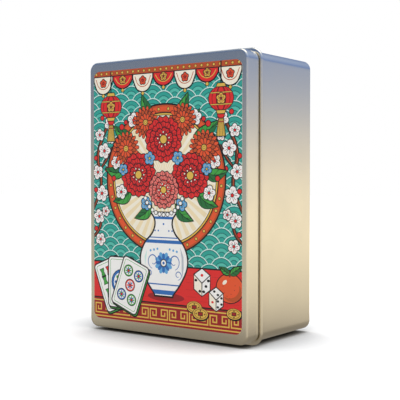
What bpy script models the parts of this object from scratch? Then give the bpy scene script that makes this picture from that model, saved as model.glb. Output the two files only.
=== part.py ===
"""Mahjong card game in a slip-lid tin, standing on its short side with the lid facing -Y.

Metres, +Z up. The origin lies on the floor, midway across the tin and midway through its depth.
The tin is sized from the inside out: cards, dice and chips set the trays, the trays set the tin.
"""
import math

import bmesh
import bpy
from mathutils import Vector

# Clearances
seat_gap = 0.0003             # between a piece and what it rests on
slip_fit = 0.0003             # lid skirt over the neck of the base
tray_fit = 0.0003             # trays inside the neck
card_clear = 0.00075          # round a card in its well
die_clear = 0.0005            # round a die in its pocket
chip_clear = 0.0006           # round a chip in its well
headroom = 0.0008             # lid over the rule booklet
cut_overrun = 0.002           # how far a cutter runs past the face that it opens

# Cards
card_length = 0.088
card_width = 0.057
card_thickness = 0.00035
card_radius = 0.003
card_recess = 0.0007          # top card below the tray's flange
upper_suits = (("cards_bamboo", 36), ("cards_dots", 36))
lower_suits = (("cards_characters", 36), ("cards_winds", 16), ("cards_dragons", 12), ("cards_flowers", 8))

# Dice, dealer button and score chips
die_size = 0.014
die_round = 0.0015
die_recess = 0.0005
die_pitch = 0.024
button_diameter = 0.030
button_thickness = 0.006
button_recess = 0.0005
button_round = 0.001
chip_diameter = 0.039
chip_thickness = 0.003
chip_round = 0.0004
chip_recess = 0.0005          # top chip below the tray's flange
chips_per_stack = 10
chip_stacks = (("red", -1, 1), ("green", 1, 1), ("blue", -1, -1), ("white", 1, -1))

# Formed trays
tray_wall = 0.0008
tray_skirt = 0.008            # turned-back edge of a tray
card_side_flange = 0.00765    # tray edge beside the card wells
card_end_flange = 0.0066      # tray edge above and below the card wells
chip_side_flange = 0.0053     # tray edge beside the chip wells
chip_end_flange = 0.0057      # tray edge above and below the chip wells
channel_rib = 0.0012          # between a card well and the dice channel
scoop_radius = 0.009          # finger scoop at each end of a card well
scoop_reach = 0.005           # how far a scoop runs past the end of its well
scoop_depth_share = 0.8       # of the tray's depth

# Rule booklet
booklet_thickness = 0.0016
booklet_inset = 0.003         # from the edge of the trays
booklet_radius = 0.0015

# Tin
sheet = 0.0003                # tinplate
corner_radius = 0.005
front_round = 0.001           # edge of the lid's front panel
back_round = 0.002            # edge of the base's back panel
skirt_depth = 0.010           # lid, front panel to skirt edge
stop_gap = 0.001              # skirt edge to bead
bead_radius = 0.001
bead_proud = 0.00175          # bead over the walls

# Printed label
label_side_margin = 0.00315
label_end_margin = 0.0053
label_thickness = 0.0002
label_radius = 0.004

# Facets
corner_steps = 8
round_steps = 4
bead_steps = 8
chip_sides = 24
well_sides = 32

# Colour, roughness and metallic value of each finish
finishes = {
    "tinplate": ((0.74, 0.71, 0.64), 0.32, 1.0),
    "label_print": ((0.05, 0.48, 0.42), 0.35, 0.0),
    "booklet_paper": ((0.86, 0.80, 0.68), 0.60, 0.0),
    "card_stock": ((0.90, 0.88, 0.83), 0.45, 0.0),
    "tray_plastic": ((0.62, 0.04, 0.05), 0.40, 0.0),
    "die_plastic": ((0.92, 0.90, 0.84), 0.22, 0.0),
    "button_plastic": ((0.85, 0.55, 0.12), 0.28, 0.0),
    "chip_red": ((0.75, 0.05, 0.06), 0.45, 0.0),
    "chip_green": ((0.05, 0.45, 0.20), 0.45, 0.0),
    "chip_blue": ((0.05, 0.20, 0.55), 0.45, 0.0),
    "chip_white": ((0.88, 0.86, 0.80), 0.45, 0.0),
}

# Depths of what lies in the tin
cards_per_stack = max(sum(count for _, count in suits) for suits in (upper_suits, lower_suits))
card_stack = cards_per_stack * card_thickness
card_tray_depth = tray_wall + seat_gap + card_stack + card_recess
chip_pitch = chip_thickness + seat_gap
chip_tray_depth = tray_wall + seat_gap + chips_per_stack * chip_pitch + chip_recess

# Wells and trays, across and up
card_well_width = card_length + 2 * card_clear
card_well_height = card_width + 2 * card_clear
channel_height = die_size + 2 * die_clear
card_well_offset = channel_height / 2 + channel_rib + card_well_height / 2
tray_width = card_well_width + 2 * card_side_flange
tray_height = 2 * (card_well_offset + card_well_height / 2 + card_end_flange)

chip_well_diameter = chip_diameter + 2 * chip_clear
chip_well_across = (tray_width - chip_well_diameter) / 2 - chip_side_flange
chip_well_up = (tray_height - chip_well_diameter) / 2 - chip_end_flange

# The tin round them
neck_inset = sheet + slip_fit
tin_width = tray_width + 2 * (tray_fit + sheet + neck_inset)
tin_height = tray_height + 2 * (tray_fit + sheet + neck_inset)
tray_radius = corner_radius - neck_inset - sheet - tray_fit
contents_depth = booklet_thickness + card_tray_depth + chip_tray_depth + 3 * seat_gap
tin_depth = 2 * sheet + headroom + contents_depth
label_stand = seat_gap + label_thickness

# Places through the depth, front to back
label_front = -(label_stand + tin_depth) / 2
lid_front = label_front + label_stand
back_face = lid_front + tin_depth
booklet_front = lid_front + sheet + headroom
card_tray_front = booklet_front + booklet_thickness + seat_gap
chip_tray_front = card_tray_front + card_tray_depth + seat_gap
neck_edge = lid_front + sheet + seat_gap
bead_front = lid_front + skirt_depth + stop_gap
middle_height = bead_proud + tin_height / 2


def clear_scene():
    """Removes whatever the scene holds."""
    for thing in list(bpy.data.objects):
        bpy.data.objects.remove(thing, do_unlink=True)


def new_collection(name, inside=None):
    """A collection in the scene, or inside another one."""
    collection = bpy.data.collections.new(name)
    (inside or bpy.context.scene.collection).children.link(collection)
    return collection


def finish(name):
    """The material of one of the finishes above."""
    if name in bpy.data.materials:
        return bpy.data.materials[name]
    colour, roughness, metallic = finishes[name]
    material = bpy.data.materials.new(name)
    material.use_nodes = True
    shader = material.node_tree.nodes["Principled BSDF"]
    shader.inputs["Base Color"].default_value = (*colour, 1.0)
    shader.inputs["Roughness"].default_value = roughness
    shader.inputs["Metallic"].default_value = metallic
    return material


def place(mesh, name, material, location, parent=None):
    """Puts a mesh in the scene as one named sub-part."""
    piece = bpy.data.objects.new(name, mesh)
    sub_parts.objects.link(piece)
    piece.location = location
    if parent:
        piece.parent = parent
    if material:
        mesh.materials.append(finish(material))
    mesh.shade_smooth()
    mesh.set_sharp_from_angle(angle=math.radians(35))
    return piece


def group(name, location):
    """An empty that carries the pieces of one moving body."""
    carrier = bpy.data.objects.new(name, None)
    sub_parts.objects.link(carrier)
    carrier.location = location
    return carrier


def block_mesh(name, width, depth, height, radius=0):
    """A box centred across and up, with its front face at y = 0 and its long edges rounded."""
    work = bmesh.new()
    bmesh.ops.create_cube(work, size=1)
    bmesh.ops.scale(work, vec=(width, depth, height), verts=work.verts)
    bmesh.ops.translate(work, vec=(0, depth / 2, 0), verts=work.verts)
    if radius:
        deep_edges = [edge for edge in work.edges if edge.verts[0].co.y != edge.verts[1].co.y]
        bmesh.ops.bevel(work, geom=deep_edges, offset=radius, segments=corner_steps, profile=0.5,
                        affect="EDGES")
    mesh = bpy.data.meshes.new(name)
    work.to_mesh(mesh)
    work.free()
    return mesh


def disc_mesh(name, diameter, depth, sides):
    """A cylinder along Y, with its front face at y = 0."""
    work = bmesh.new()
    bmesh.ops.create_cone(work, cap_ends=True, segments=sides, radius1=diameter / 2, radius2=diameter / 2,
                          depth=depth)
    quarter_turn = Vector((0, 0, 1)).rotation_difference(Vector((0, 1, 0))).to_matrix()
    bmesh.ops.rotate(work, cent=(0, 0, 0), matrix=quarter_turn, verts=work.verts)
    bmesh.ops.translate(work, vec=(0, depth / 2, 0), verts=work.verts)
    mesh = bpy.data.meshes.new(name)
    work.to_mesh(mesh)
    work.free()
    return mesh


def combine(owner, name, operation, helpers):
    """Joins helper solids to a piece, or cuts it with them. A helper is (mesh, place in the piece)."""
    tools = new_collection(name, cutters)
    for mesh, location in helpers:
        helper = bpy.data.objects.new(mesh.name, mesh)
        tools.objects.link(helper)
        helper.parent = owner
        helper.location = location
        helper.hide_render = True
        helper.display_type = "WIRE"
    step = owner.modifiers.new(name, "BOOLEAN")
    step.operation = operation
    step.solver = "EXACT"
    step.operand_type = "COLLECTION"
    step.collection = tools


def section_loop(outset, depth):
    """A rounded rectangle round the tin's walls, moved out by outset, at a depth from the lid's front."""
    radius = corner_radius + outset
    loop = []
    for corner, (side, end) in enumerate(((1, 1), (-1, 1), (-1, -1), (1, -1))):
        centre_x = side * (tin_width / 2 - corner_radius)
        centre_z = end * (tin_height / 2 - corner_radius)
        for step in range(corner_steps + 1):
            angle = math.pi / 2 * (corner + step / corner_steps)
            loop.append(Vector((centre_x + radius * math.cos(angle), depth,
                                centre_z + radius * math.sin(angle))))
    return loop


def drawn_shell(name, sections, closed_end, parent):
    """A drawn tinplate shell: a loft through sections (outset, depth), closed at the first or last."""
    work = bmesh.new()
    rings = [[work.verts.new(point) for point in section_loop(*section)] for section in sections]
    for front, behind in zip(rings, rings[1:]):
        for here in range(len(front)):
            after = (here + 1) % len(front)
            work.faces.new((front[here], behind[here], behind[after], front[after]))
    if closed_end == "front":
        work.faces.new(rings[0])
    else:
        work.faces.new(list(reversed(rings[-1])))
    mesh = bpy.data.meshes.new(name)
    work.to_mesh(mesh)
    work.free()
    shell = place(mesh, name, "tinplate", (0, 0, 0), parent)
    wall = shell.modifiers.new("tinplate", "SOLIDIFY")
    wall.thickness = sheet
    wall.offset = -1
    wall.use_even_offset = True
    return shell


def arc_sections(outset, depth, radius, start, end, steps):
    """Sections along an arc: 0 degrees faces the front, 90 outwards and 180 the back."""
    angles = [math.radians(start + (end - start) * step / steps) for step in range(steps + 1)]
    return [(outset + radius * math.sin(angle), depth - radius * math.cos(angle)) for angle in angles]


def make_base():
    """The drawn base: neck inside the lid, raised bead, wall and rounded back."""
    carrier = group("base", (0, lid_front, middle_height))
    sections = [(-neck_inset, neck_edge - lid_front), (-neck_inset, bead_front - lid_front)]
    bead_middle = bead_front - lid_front + bead_radius
    sections += arc_sections(bead_proud - bead_radius, bead_middle, bead_radius, 0, 180, bead_steps)
    sections.append((0, bead_middle + bead_radius))
    sections += arc_sections(-back_round, tin_depth - back_round, back_round, 90, 180, round_steps)
    drawn_shell("tin_base", sections, "back", carrier)


def make_lid():
    """The slip-on lid and the printed label on its front panel."""
    carrier = group("lid", (0, lid_front, middle_height))
    sections = arc_sections(-front_round, front_round, front_round, 0, 90, round_steps)
    sections.append((0, skirt_depth))
    drawn_shell("tin_lid", sections, "front", carrier)
    label = block_mesh("lid_label", tin_width - 2 * label_side_margin, label_thickness,
                       tin_height - 2 * label_end_margin, label_radius)
    place(label, "lid_label", "label_print", (0, -label_stand, 0), carrier)


def make_booklet():
    """The rule booklet, which lies over the card tray."""
    mesh = block_mesh("rule_booklet", tray_width - 2 * booklet_inset, booklet_thickness,
                      tray_height - 2 * booklet_inset, booklet_radius)
    place(mesh, "rule_booklet", "booklet_paper", (0, booklet_front, middle_height))


def well_mesh(name, width, height, radius, depth):
    """The space of a well, or of the cup round it: a disc where the radius is half the width."""
    if radius == width / 2:
        return disc_mesh(name, width, depth, well_sides)
    return block_mesh(name, width, depth, height, radius)


def formed_tray(name, front, wells):
    """A thin formed tray open to the front. A well is (name, across, up, width, height, radius, depth)."""
    carrier = group(name + "_body", (0, front, middle_height))
    tray = place(block_mesh(name, tray_width, tray_skirt, tray_height, tray_radius), name, "tray_plastic",
                 (0, 0, 0), carrier)
    hollow = block_mesh(name + "_hollow", tray_width - 2 * tray_wall, tray_skirt + cut_overrun,
                        tray_height - 2 * tray_wall, tray_radius - tray_wall)
    combine(tray, name + "_underside", "DIFFERENCE", [(hollow, (0, tray_wall, 0))])
    cup_start = tray_wall / 2
    cups = []
    cuts = []
    for well, across, up, width, height, radius, depth in wells:
        cup = well_mesh(well + "_cup", width + 2 * tray_wall, height + 2 * tray_wall, radius + tray_wall,
                        depth + tray_wall - cup_start)
        cups.append((cup, (across, cup_start, up)))
        cut = well_mesh(well + "_cut", width, height, radius, depth + cut_overrun)
        cuts.append((cut, (across, -cut_overrun, up)))
    combine(tray, name + "_cups", "UNION", cups)
    combine(tray, name + "_wells", "DIFFERENCE", cuts)
    return carrier


def make_card_tray():
    """The upper tray: two card wells with finger scoops, and a channel of dice pockets between them."""
    well_depth = card_tray_depth - tray_wall
    scoop_depth = well_depth * scoop_depth_share
    scoop_centre = card_well_width / 2 + scoop_reach - scoop_radius
    die_depth = die_size + seat_gap + die_recess
    wells = []
    for end, row in ((1, "upper"), (-1, "lower")):
        up = end * card_well_offset
        wells.append((row + "_card_well", 0, up, card_well_width, card_well_height, card_radius + card_clear,
                      well_depth))
        for side, hand in ((-1, "left"), (1, "right")):
            wells.append((f"{row}_{hand}_scoop", side * scoop_centre, up, 2 * scoop_radius, 2 * scoop_radius,
                          scoop_radius, scoop_depth))
    for number in (1, 2, 3):
        wells.append((f"die_pocket_{number}", (number - 2) * die_pitch, 0, channel_height, channel_height,
                      die_round + die_clear, die_depth))
    carrier = formed_tray("card_tray", card_tray_front, wells)
    for end, suits in ((1, upper_suits), (-1, lower_suits)):
        make_card_stack(suits, end * card_well_offset, carrier)
    for number in (1, 2, 3):
        make_die(number, (number - 2) * die_pitch, die_recess, carrier)


def make_card_stack(suits, up, carrier):
    """A stack of cards in its well, one solid for each suit, the first suit at the back."""
    behind = card_tray_depth - tray_wall
    for suit, count in suits:
        thickness = count * card_thickness - seat_gap
        front = behind - seat_gap - thickness
        mesh = block_mesh(suit, card_length, thickness, card_width, card_radius)
        place(mesh, suit, "card_stock", (0, front, up), carrier)
        behind = front


def make_die(number, across, front, carrier):
    """A die with rounded edges in its pocket."""
    mesh = block_mesh(f"die_{number}", die_size, die_size, die_size)
    die = place(mesh, f"die_{number}", "die_plastic", (across, front, 0), carrier)
    round_edges(die, die_round, 2)


def round_edges(piece, width, segments):
    """Rounds the sharp edges of a piece."""
    rounding = piece.modifiers.new("rounding", "BEVEL")
    rounding.width = width
    rounding.segments = segments
    rounding.limit_method = "ANGLE"
    rounding.angle_limit = math.radians(35)


def make_chip_tray():
    """The lower tray: four wells of score chips round a pocket for the dealer button."""
    button_well = button_diameter + 2 * chip_clear
    button_depth = button_thickness + seat_gap + button_recess
    wells = [("button_pocket", 0, 0, button_well, button_well, button_well / 2, button_depth)]
    for colour, side, end in chip_stacks:
        wells.append((colour + "_chip_well", side * chip_well_across, end * chip_well_up, chip_well_diameter,
                      chip_well_diameter, chip_well_diameter / 2, chip_tray_depth - tray_wall))
    carrier = formed_tray("chip_tray", chip_tray_front, wells)
    button = disc_mesh("dealer_button", button_diameter, button_thickness, chip_sides)
    button = place(button, "dealer_button", "button_plastic", (0, button_recess, 0), carrier)
    round_edges(button, button_round, 2)
    for colour, side, end in chip_stacks:
        mesh = disc_mesh(colour + "_chip", chip_diameter, chip_thickness, chip_sides)
        mesh.materials.append(finish("chip_" + colour))
        for number in range(chips_per_stack):
            front = chip_recess + number * chip_pitch
            chip = place(mesh, f"{colour}_chip_{number + 1:02d}", None,
                         (side * chip_well_across, front, end * chip_well_up), carrier)
            round_edges(chip, chip_round, 1)


clear_scene()
sub_parts = new_collection("mahjong_card_game")
cutters = new_collection("cutters")
make_base()
make_lid()
make_booklet()
make_card_tray()
make_chip_tray()
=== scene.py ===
# Looks for the mahjong card game in its slip-lid tin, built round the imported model

import bpy
import bmesh
import math
import numpy as np
import random
from mathutils import Vector, Matrix
from mathutils.geometry import delaunay_2d_cdt


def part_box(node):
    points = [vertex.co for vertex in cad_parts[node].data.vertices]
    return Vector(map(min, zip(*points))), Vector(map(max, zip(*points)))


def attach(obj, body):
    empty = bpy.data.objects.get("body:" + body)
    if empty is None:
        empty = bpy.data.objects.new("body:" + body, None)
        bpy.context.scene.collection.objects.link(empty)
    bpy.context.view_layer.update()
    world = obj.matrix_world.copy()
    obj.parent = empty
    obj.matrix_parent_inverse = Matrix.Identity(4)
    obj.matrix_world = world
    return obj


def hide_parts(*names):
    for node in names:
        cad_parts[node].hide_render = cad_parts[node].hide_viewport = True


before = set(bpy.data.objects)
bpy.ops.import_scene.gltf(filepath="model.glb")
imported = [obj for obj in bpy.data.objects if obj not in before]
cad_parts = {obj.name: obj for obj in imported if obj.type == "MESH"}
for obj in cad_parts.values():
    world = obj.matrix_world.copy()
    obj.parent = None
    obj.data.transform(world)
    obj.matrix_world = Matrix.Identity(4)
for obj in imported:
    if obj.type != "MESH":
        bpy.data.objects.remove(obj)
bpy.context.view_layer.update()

mm = 0.001
scene = bpy.context.scene
lidLow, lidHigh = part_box("tin_lid")
baseLow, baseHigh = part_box("tin_base")
labelLow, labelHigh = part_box("lid_label")
tinMiddle = (lidLow.z + lidHigh.z) / 2
print("frame loaded")


# Node helpers

def addNode(tree, kind, props=None, inputs=None):
    made = tree.nodes.new(kind)
    for name, value in (props or {}).items():
        setattr(made, name, value)
    for name, value in (inputs or {}).items():
        feed(tree, made.inputs[name], value)
    return made


def feed(tree, socket, value):
    if isinstance(value, bpy.types.NodeSocket):
        tree.links.new(value, socket)
    else:
        socket.default_value = value


def maths(tree, operation, first, second=0.0, third=0.0):
    made = tree.nodes.new("ShaderNodeMath")
    made.operation = operation
    for socket, value in zip(made.inputs, (first, second, third)):
        feed(tree, socket, value)
    return made.outputs[0]


def remap(tree, value, fromLow, fromHigh, toLow, toHigh):
    made = addNode(tree, "ShaderNodeMapRange", {"interpolation_type": "SMOOTHSTEP"},
                   {"Value": value, "From Min": fromLow, "From Max": fromHigh, "To Min": toLow,
                    "To Max": toHigh})
    return made.outputs["Result"]


def mixColors(tree, factor, first, second, blend="MIX"):
    made = addNode(tree, "ShaderNodeMix", {"data_type": "RGBA", "blend_type": blend})
    feed(tree, made.inputs["Factor"], factor)
    feed(tree, made.inputs[6], first)
    feed(tree, made.inputs[7], second)
    return made.outputs[2]


def noise(tree, vector, scale, detail=3.0, roughness=0.55):
    made = addNode(tree, "ShaderNodeTexNoise", None,
                   {"Vector": vector, "Scale": scale, "Detail": detail, "Roughness": roughness})
    return made.outputs["Fac"]


def stretched(tree, scale):
    made = addNode(tree, "ShaderNodeMapping", None, {"Scale": scale})
    feed(tree, made.inputs["Vector"], addNode(tree, "ShaderNodeTexCoord").outputs["Object"])
    return made.outputs["Vector"]


def grey(tree, value):
    made = addNode(tree, "ShaderNodeCombineColor", None, dict.fromkeys(("Red", "Green", "Blue"), value))
    return made.outputs["Color"]


def srgb(red, green, blue):  # a colour as seen, 0 to 255, to the linear value that Blender mixes with
    def linear(value):
        value = value / 255
        return value / 12.92 if value <= 0.04045 else ((value + 0.055) / 1.055) ** 2.4
    return (linear(red), linear(green), linear(blue), 1.0)


# Mesh helpers

def meshFrom(name, work, smooth=False):
    bmesh.ops.recalc_face_normals(work, faces=work.faces)
    for face in work.faces:
        face.smooth = smooth
    mesh = bpy.data.meshes.new(name)
    work.to_mesh(mesh)
    work.free()
    return mesh


def addObject(name, data, *materials):
    made = bpy.data.objects.new(name, data)
    scene.collection.objects.link(made)
    for material in materials:
        data.materials.append(material)
    return made


# Shared effects: each takes a colour and some numbers, and puts out a colour, a roughness and a bump height

def effectGroup(name, numbers):
    group = bpy.data.node_groups.new(name, "ShaderNodeTree")
    tint = group.interface.new_socket("Color", in_out="INPUT", socket_type="NodeSocketColor")
    tint.default_value = (0.8, 0.8, 0.8, 1)
    for label, value in numbers.items():
        socket = group.interface.new_socket(label, in_out="INPUT", socket_type="NodeSocketFloat")
        socket.default_value = value
    for label, kind in (("Color", "Color"), ("Roughness", "Float"), ("Height", "Float")):
        group.interface.new_socket(label, in_out="OUTPUT", socket_type="NodeSocket" + kind)
    return group, group.nodes.new("NodeGroupInput").outputs, group.nodes.new("NodeGroupOutput").inputs


def putOut(group, out, color, roughness, height):
    for label, value in (("Color", color), ("Roughness", roughness), ("Height", height)):
        feed(group, out[label], value)
    return group


# a number that leaves its base as a noise leaves a half
def straying(group, fromNoise, strength, base=1.0):
    return maths(group, "MULTIPLY_ADD", maths(group, "SUBTRACT", fromNoise, 0.5), strength, base)


def brightened(group, color, value):
    made = addNode(group, "ShaderNodeHueSaturation", None, {"Value": value, "Color": color})
    return made.outputs["Color"]


def buildSatinSheet():  # rolled sheet metal: fine grain along the mill's rolling, faint handling smears
    group, given, out = effectGroup("satinSheet", {"Roughness": 0.3, "Grain": 0.04, "Smear": 0.05})
    rolled = noise(group, stretched(group, (2600, 2600, 90)), 1.0, 2.0)
    cloudy = noise(group, stretched(group, (1, 1, 1)), 38.0, 4.0)
    speck = noise(group, stretched(group, (1, 1, 1)), 2600.0, 1.0)
    smear = remap(group, cloudy, 0.42, 0.68, -0.5, 0.5)
    rough = straying(group, rolled, given["Grain"], given["Roughness"])
    rough = maths(group, "MULTIPLY_ADD", smear, given["Smear"], rough)
    shade = grey(group, maths(group, "MULTIPLY_ADD", smear, -0.015, 1.0))
    color = mixColors(group, 1.0, given["Color"], shade, "MULTIPLY")
    return putOut(group, out, color, rough, maths(group, "MULTIPLY_ADD", speck, 0.5, rolled))


# flat ink on coated stock: fine mottle in the colour, faint orange-peel in the varnish
def buildPrintedInk():
    group, given, out = effectGroup("printedInk", {"Roughness": 0.4, "Mottle": 0.05})
    plain = stretched(group, (1, 1, 1))
    fine = noise(group, plain, 5200.0, 2.0)
    broad = noise(group, plain, 210.0, 3.0)
    peel = noise(group, plain, 1300.0, 1.0)
    value = straying(group, fine, given["Mottle"], straying(group, broad, given["Mottle"]))
    color = brightened(group, given["Color"], value)
    return putOut(group, out, color, straying(group, broad, 0.12, given["Roughness"]), peel)


def buildMouldedPlastic():  # moulded or formed plastic: slight colour drift, soft sheen changes, fine skin
    group, given, out = effectGroup("mouldedPlastic", {"Roughness": 0.4, "Drift": 0.08})
    plain = stretched(group, (1, 1, 1))
    broad = noise(group, plain, 120.0, 3.0)
    skin = noise(group, plain, 2400.0, 2.0)
    value = straying(group, skin, 0.06, straying(group, broad, given["Drift"]))
    color = brightened(group, given["Color"], value)
    return putOut(group, out, color, straying(group, broad, 0.2, given["Roughness"]), skin)


def buildCardStock():  # board and paper: fibres along the sheet and flecks in it
    group, given, out = effectGroup("cardStock", {"Roughness": 0.6, "Fibre": 0.12})
    fibres = noise(group, stretched(group, (420, 9000, 1900)), 1.0, 3.0)
    flecks = noise(group, stretched(group, (1, 1, 1)), 700.0, 2.0)
    value = straying(group, flecks, given["Fibre"], straying(group, fibres, given["Fibre"]))
    color = brightened(group, given["Color"], value)
    return putOut(group, out, color, straying(group, fibres, 0.2, given["Roughness"]), fibres)


satinSheet = buildSatinSheet()
printedInk = buildPrintedInk()
mouldedPlastic = buildMouldedPlastic()
cardStock = buildCardStock()
bumpDepth = 0.02 * mm


def groupMaterial(name, group, values, bump, shader=None):
    # colour, roughness and bump come from a shared effect, and plain numbers sit on the shader
    material = bpy.data.materials.new(name)
    material.use_nodes = True
    tree = material.node_tree
    principled = tree.nodes["Principled BSDF"]
    effect = addNode(tree, "ShaderNodeGroup", {"node_tree": group}, values)
    relief = addNode(tree, "ShaderNodeBump", None,
                     {"Strength": bump, "Distance": bumpDepth, "Height": effect.outputs["Height"]})
    tree.links.new(effect.outputs["Color"], principled.inputs["Base Color"])
    tree.links.new(effect.outputs["Roughness"], principled.inputs["Roughness"])
    tree.links.new(relief.outputs["Normal"], principled.inputs["Normal"])
    for label, value in (shader or {}).items():
        principled.inputs[label].default_value = value
    return material


# Tinplate

tinplate = {
    "color": (0.80, 0.73, 0.58, 1.0),
    "roughness": 0.24,
    "grain": 0.05,
    "smear": 0.02,
    "bump": 0.06,
}
tinplateMaterial = groupMaterial(
    "satinTinplate", satinSheet,
    {"Color": tinplate["color"], "Roughness": tinplate["roughness"], "Grain": tinplate["grain"],
     "Smear": tinplate["smear"]},
    tinplate["bump"], {"Metallic": 1.0})


# Drawn tin: lofts through rounded rectangles

drawnTin = {
    "cornerRadius": 5 * mm,
    "cornerSteps": 20,
    "frontRound": 1.0 * mm,
    "backRound": 2.0 * mm,
    "sheet": 0.3 * mm,
    "neckInset": 0.6 * mm,
    "beadRadius": 1.0 * mm,
    "beadFillet": 0.35 * mm,
    "beadMiddle": 12.0 * mm,  # behind the lid's front face
    "hemProud": 0.16 * mm,
    "straightShares": (0.004, 0.03, 0.2, 0.5, 0.8, 0.97, 0.996),  # extra points along each flat wall
    "flatInset": 9 * mm,  # the innermost ring of the flat faces
    "wideRing": 3 * mm,
    "tightRing": 0.3 * mm,  # a ring this close to a bend keeps its shading crisp
}
wallHalfX = lidHigh.x
wallHalfZ = (lidHigh.z - lidLow.z) / 2
beadProud = baseHigh.x - lidHigh.x
lidFront = lidLow.y
backFace = baseHigh.y


def roundedLoop(outset, depth):
    radius = max(drawnTin["cornerRadius"] + outset, 0.4 * mm)
    halfX = wallHalfX + outset
    halfZ = wallHalfZ + outset
    corners = []
    for quarter, (sideX, sideZ) in enumerate(((1, 1), (-1, 1), (-1, -1), (1, -1))):
        middle = Vector((sideX * (halfX - radius), 0, sideZ * (halfZ - radius)))
        arc = []
        for step in range(drawnTin["cornerSteps"] + 1):
            angle = math.pi / 2 * (quarter + step / drawnTin["cornerSteps"])
            arc.append(middle + Vector((radius * math.cos(angle), 0, radius * math.sin(angle))))
        corners.append(arc)
    loop = []
    for quarter in range(4):
        arc = corners[quarter]
        following = corners[(quarter + 1) % 4][0]
        loop += arc
        loop += [arc[-1].lerp(following, share) for share in drawnTin["straightShares"]]
    return [point + Vector((0, lidFront + depth, tinMiddle)) for point in loop]


# 0 degrees faces the front, 90 outwards, 180 the back
def arcSections(outset, depth, radius, start, end, steps):
    found = []
    for step in range(steps + 1):
        angle = math.radians(start + (end - start) * step / steps)
        found.append((outset + radius * math.sin(angle), depth - radius * math.cos(angle)))
    return found


def loftShell(name, sections):  # a closed skin: first and last sections are capped
    work = bmesh.new()
    rings = [[work.verts.new(point) for point in roundedLoop(*section)] for section in sections]
    for near, far in zip(rings, rings[1:]):
        for here in range(len(near)):
            after = (here + 1) % len(near)
            work.faces.new((near[here], far[here], far[after], near[after]))
    work.faces.new(rings[0])
    work.faces.new(list(reversed(rings[-1])))
    return addObject(name, meshFrom(name, work, smooth=True), tinplateMaterial)


def makeTinLid():
    sheet, edge, proud = [drawnTin[size] for size in ("sheet", "frontRound", "hemProud")]
    flat, wide, tight = [drawnTin[size] for size in ("flatInset", "wideRing", "tightRing")]
    skirt = lidHigh.y - lidFront
    sections = [(-flat, 0), (-edge - wide, 0), (-edge - tight, 0)]
    sections += arcSections(-edge, edge, edge, 0, 90, 10)
    sections += [(0, edge + tight), (0, skirt * 0.5), (0, skirt - 1.6 * mm), (0, skirt - 1.25 * mm)]
    # the hem's outside, as shares of how proud it stands, and the millimetres left to the skirt's end
    sections += [(proud * share, skirt - left * mm) for share, left in
                 ((0.35, 1.05), (0.85, 0.85), (1, 0.6), (0.9, 0.35), (0.45, 0.13), (-0.3, 0.02))]
    # its inside: millimetres inwards of the sheet, and left to the end
    sections += [(-sheet * 0.6, skirt)]
    sections += [(-sheet - inwards * mm, skirt - left * mm) for inwards, left in
                 ((0, 0.06), (0.09, 0.25), (0.12, 0.6), (0.06, 1.0), (0, 1.25))]
    sections += [(-sheet, skirt * 0.5), (-sheet, edge + tight)]
    sections += arcSections(-edge, edge, edge - sheet, 90, 0, 6)
    sections += [(-edge - wide, sheet), (-flat, sheet)]
    lid = loftShell("tinLidShell", sections)
    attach(lid, "lid")
    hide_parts("tin_lid")


def makeTinBase():
    sheet, bead, middle, fillet, back = [
        drawnTin[size] for size in ("sheet", "beadRadius", "beadMiddle", "beadFillet", "backRound")]
    flat, wide, tight = [drawnTin[size] for size in ("flatInset", "wideRing", "tightRing")]
    neck = -drawnTin["neckInset"]
    inner = neck - sheet
    crest = beadProud - bead
    depth = backFace - lidFront
    mouth = baseLow.y - lidFront
    lip = sheet / 2
    turns = [math.radians(degrees) for degrees in range(0, 91, 18)]
    sections = [(-flat, depth), (-back - wide, depth), (-back - tight, depth)]
    sections += arcSections(-back, depth - back, back, 180, 90, 14)
    sections += [(0, depth - back - tight), (0, depth - back - wide), (0, depth * 0.6),
                 (0, middle + bead + wide), (0, middle + bead + fillet + 0.2 * mm)]
    sections += [(fillet - fillet * math.cos(turn), middle + bead + fillet - fillet * math.sin(turn))
                 for turn in turns]
    sections += arcSections(crest, middle, bead, 180, 0, 16)
    sections += [(neck + fillet - fillet * math.sin(turn), middle - bead - fillet + fillet * math.cos(turn))
                 for turn in turns]
    sections += [(neck, middle - bead - fillet - tight), (neck, middle / 2), (neck, mouth + lip + tight)]
    sections += arcSections(neck - lip, mouth + lip, lip, 90, -90, 8)
    sections += [(inner, mouth + lip + tight), (inner, middle / 2),
                 (inner, middle - bead + sheet - 0.2 * mm), (inner + 0.05 * mm, middle - bead + sheet)]
    sections += arcSections(crest, middle, bead - sheet, 0, 180, 12)
    sections += [(-sheet + 0.05 * mm, middle + bead - sheet), (-sheet, middle + bead - sheet + 0.2 * mm),
                 (-sheet, depth * 0.6), (-sheet, depth - back - tight)]
    sections += arcSections(-back, depth - back, back - sheet, 90, 180, 10)
    sections += [(-back - wide, depth - sheet), (-flat, depth - sheet)]
    base = loftShell("tinBaseShell", sections)
    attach(base, "base")
    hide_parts("tin_base")


makeTinLid()
makeTinBase()
print("tin drawn")


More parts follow.
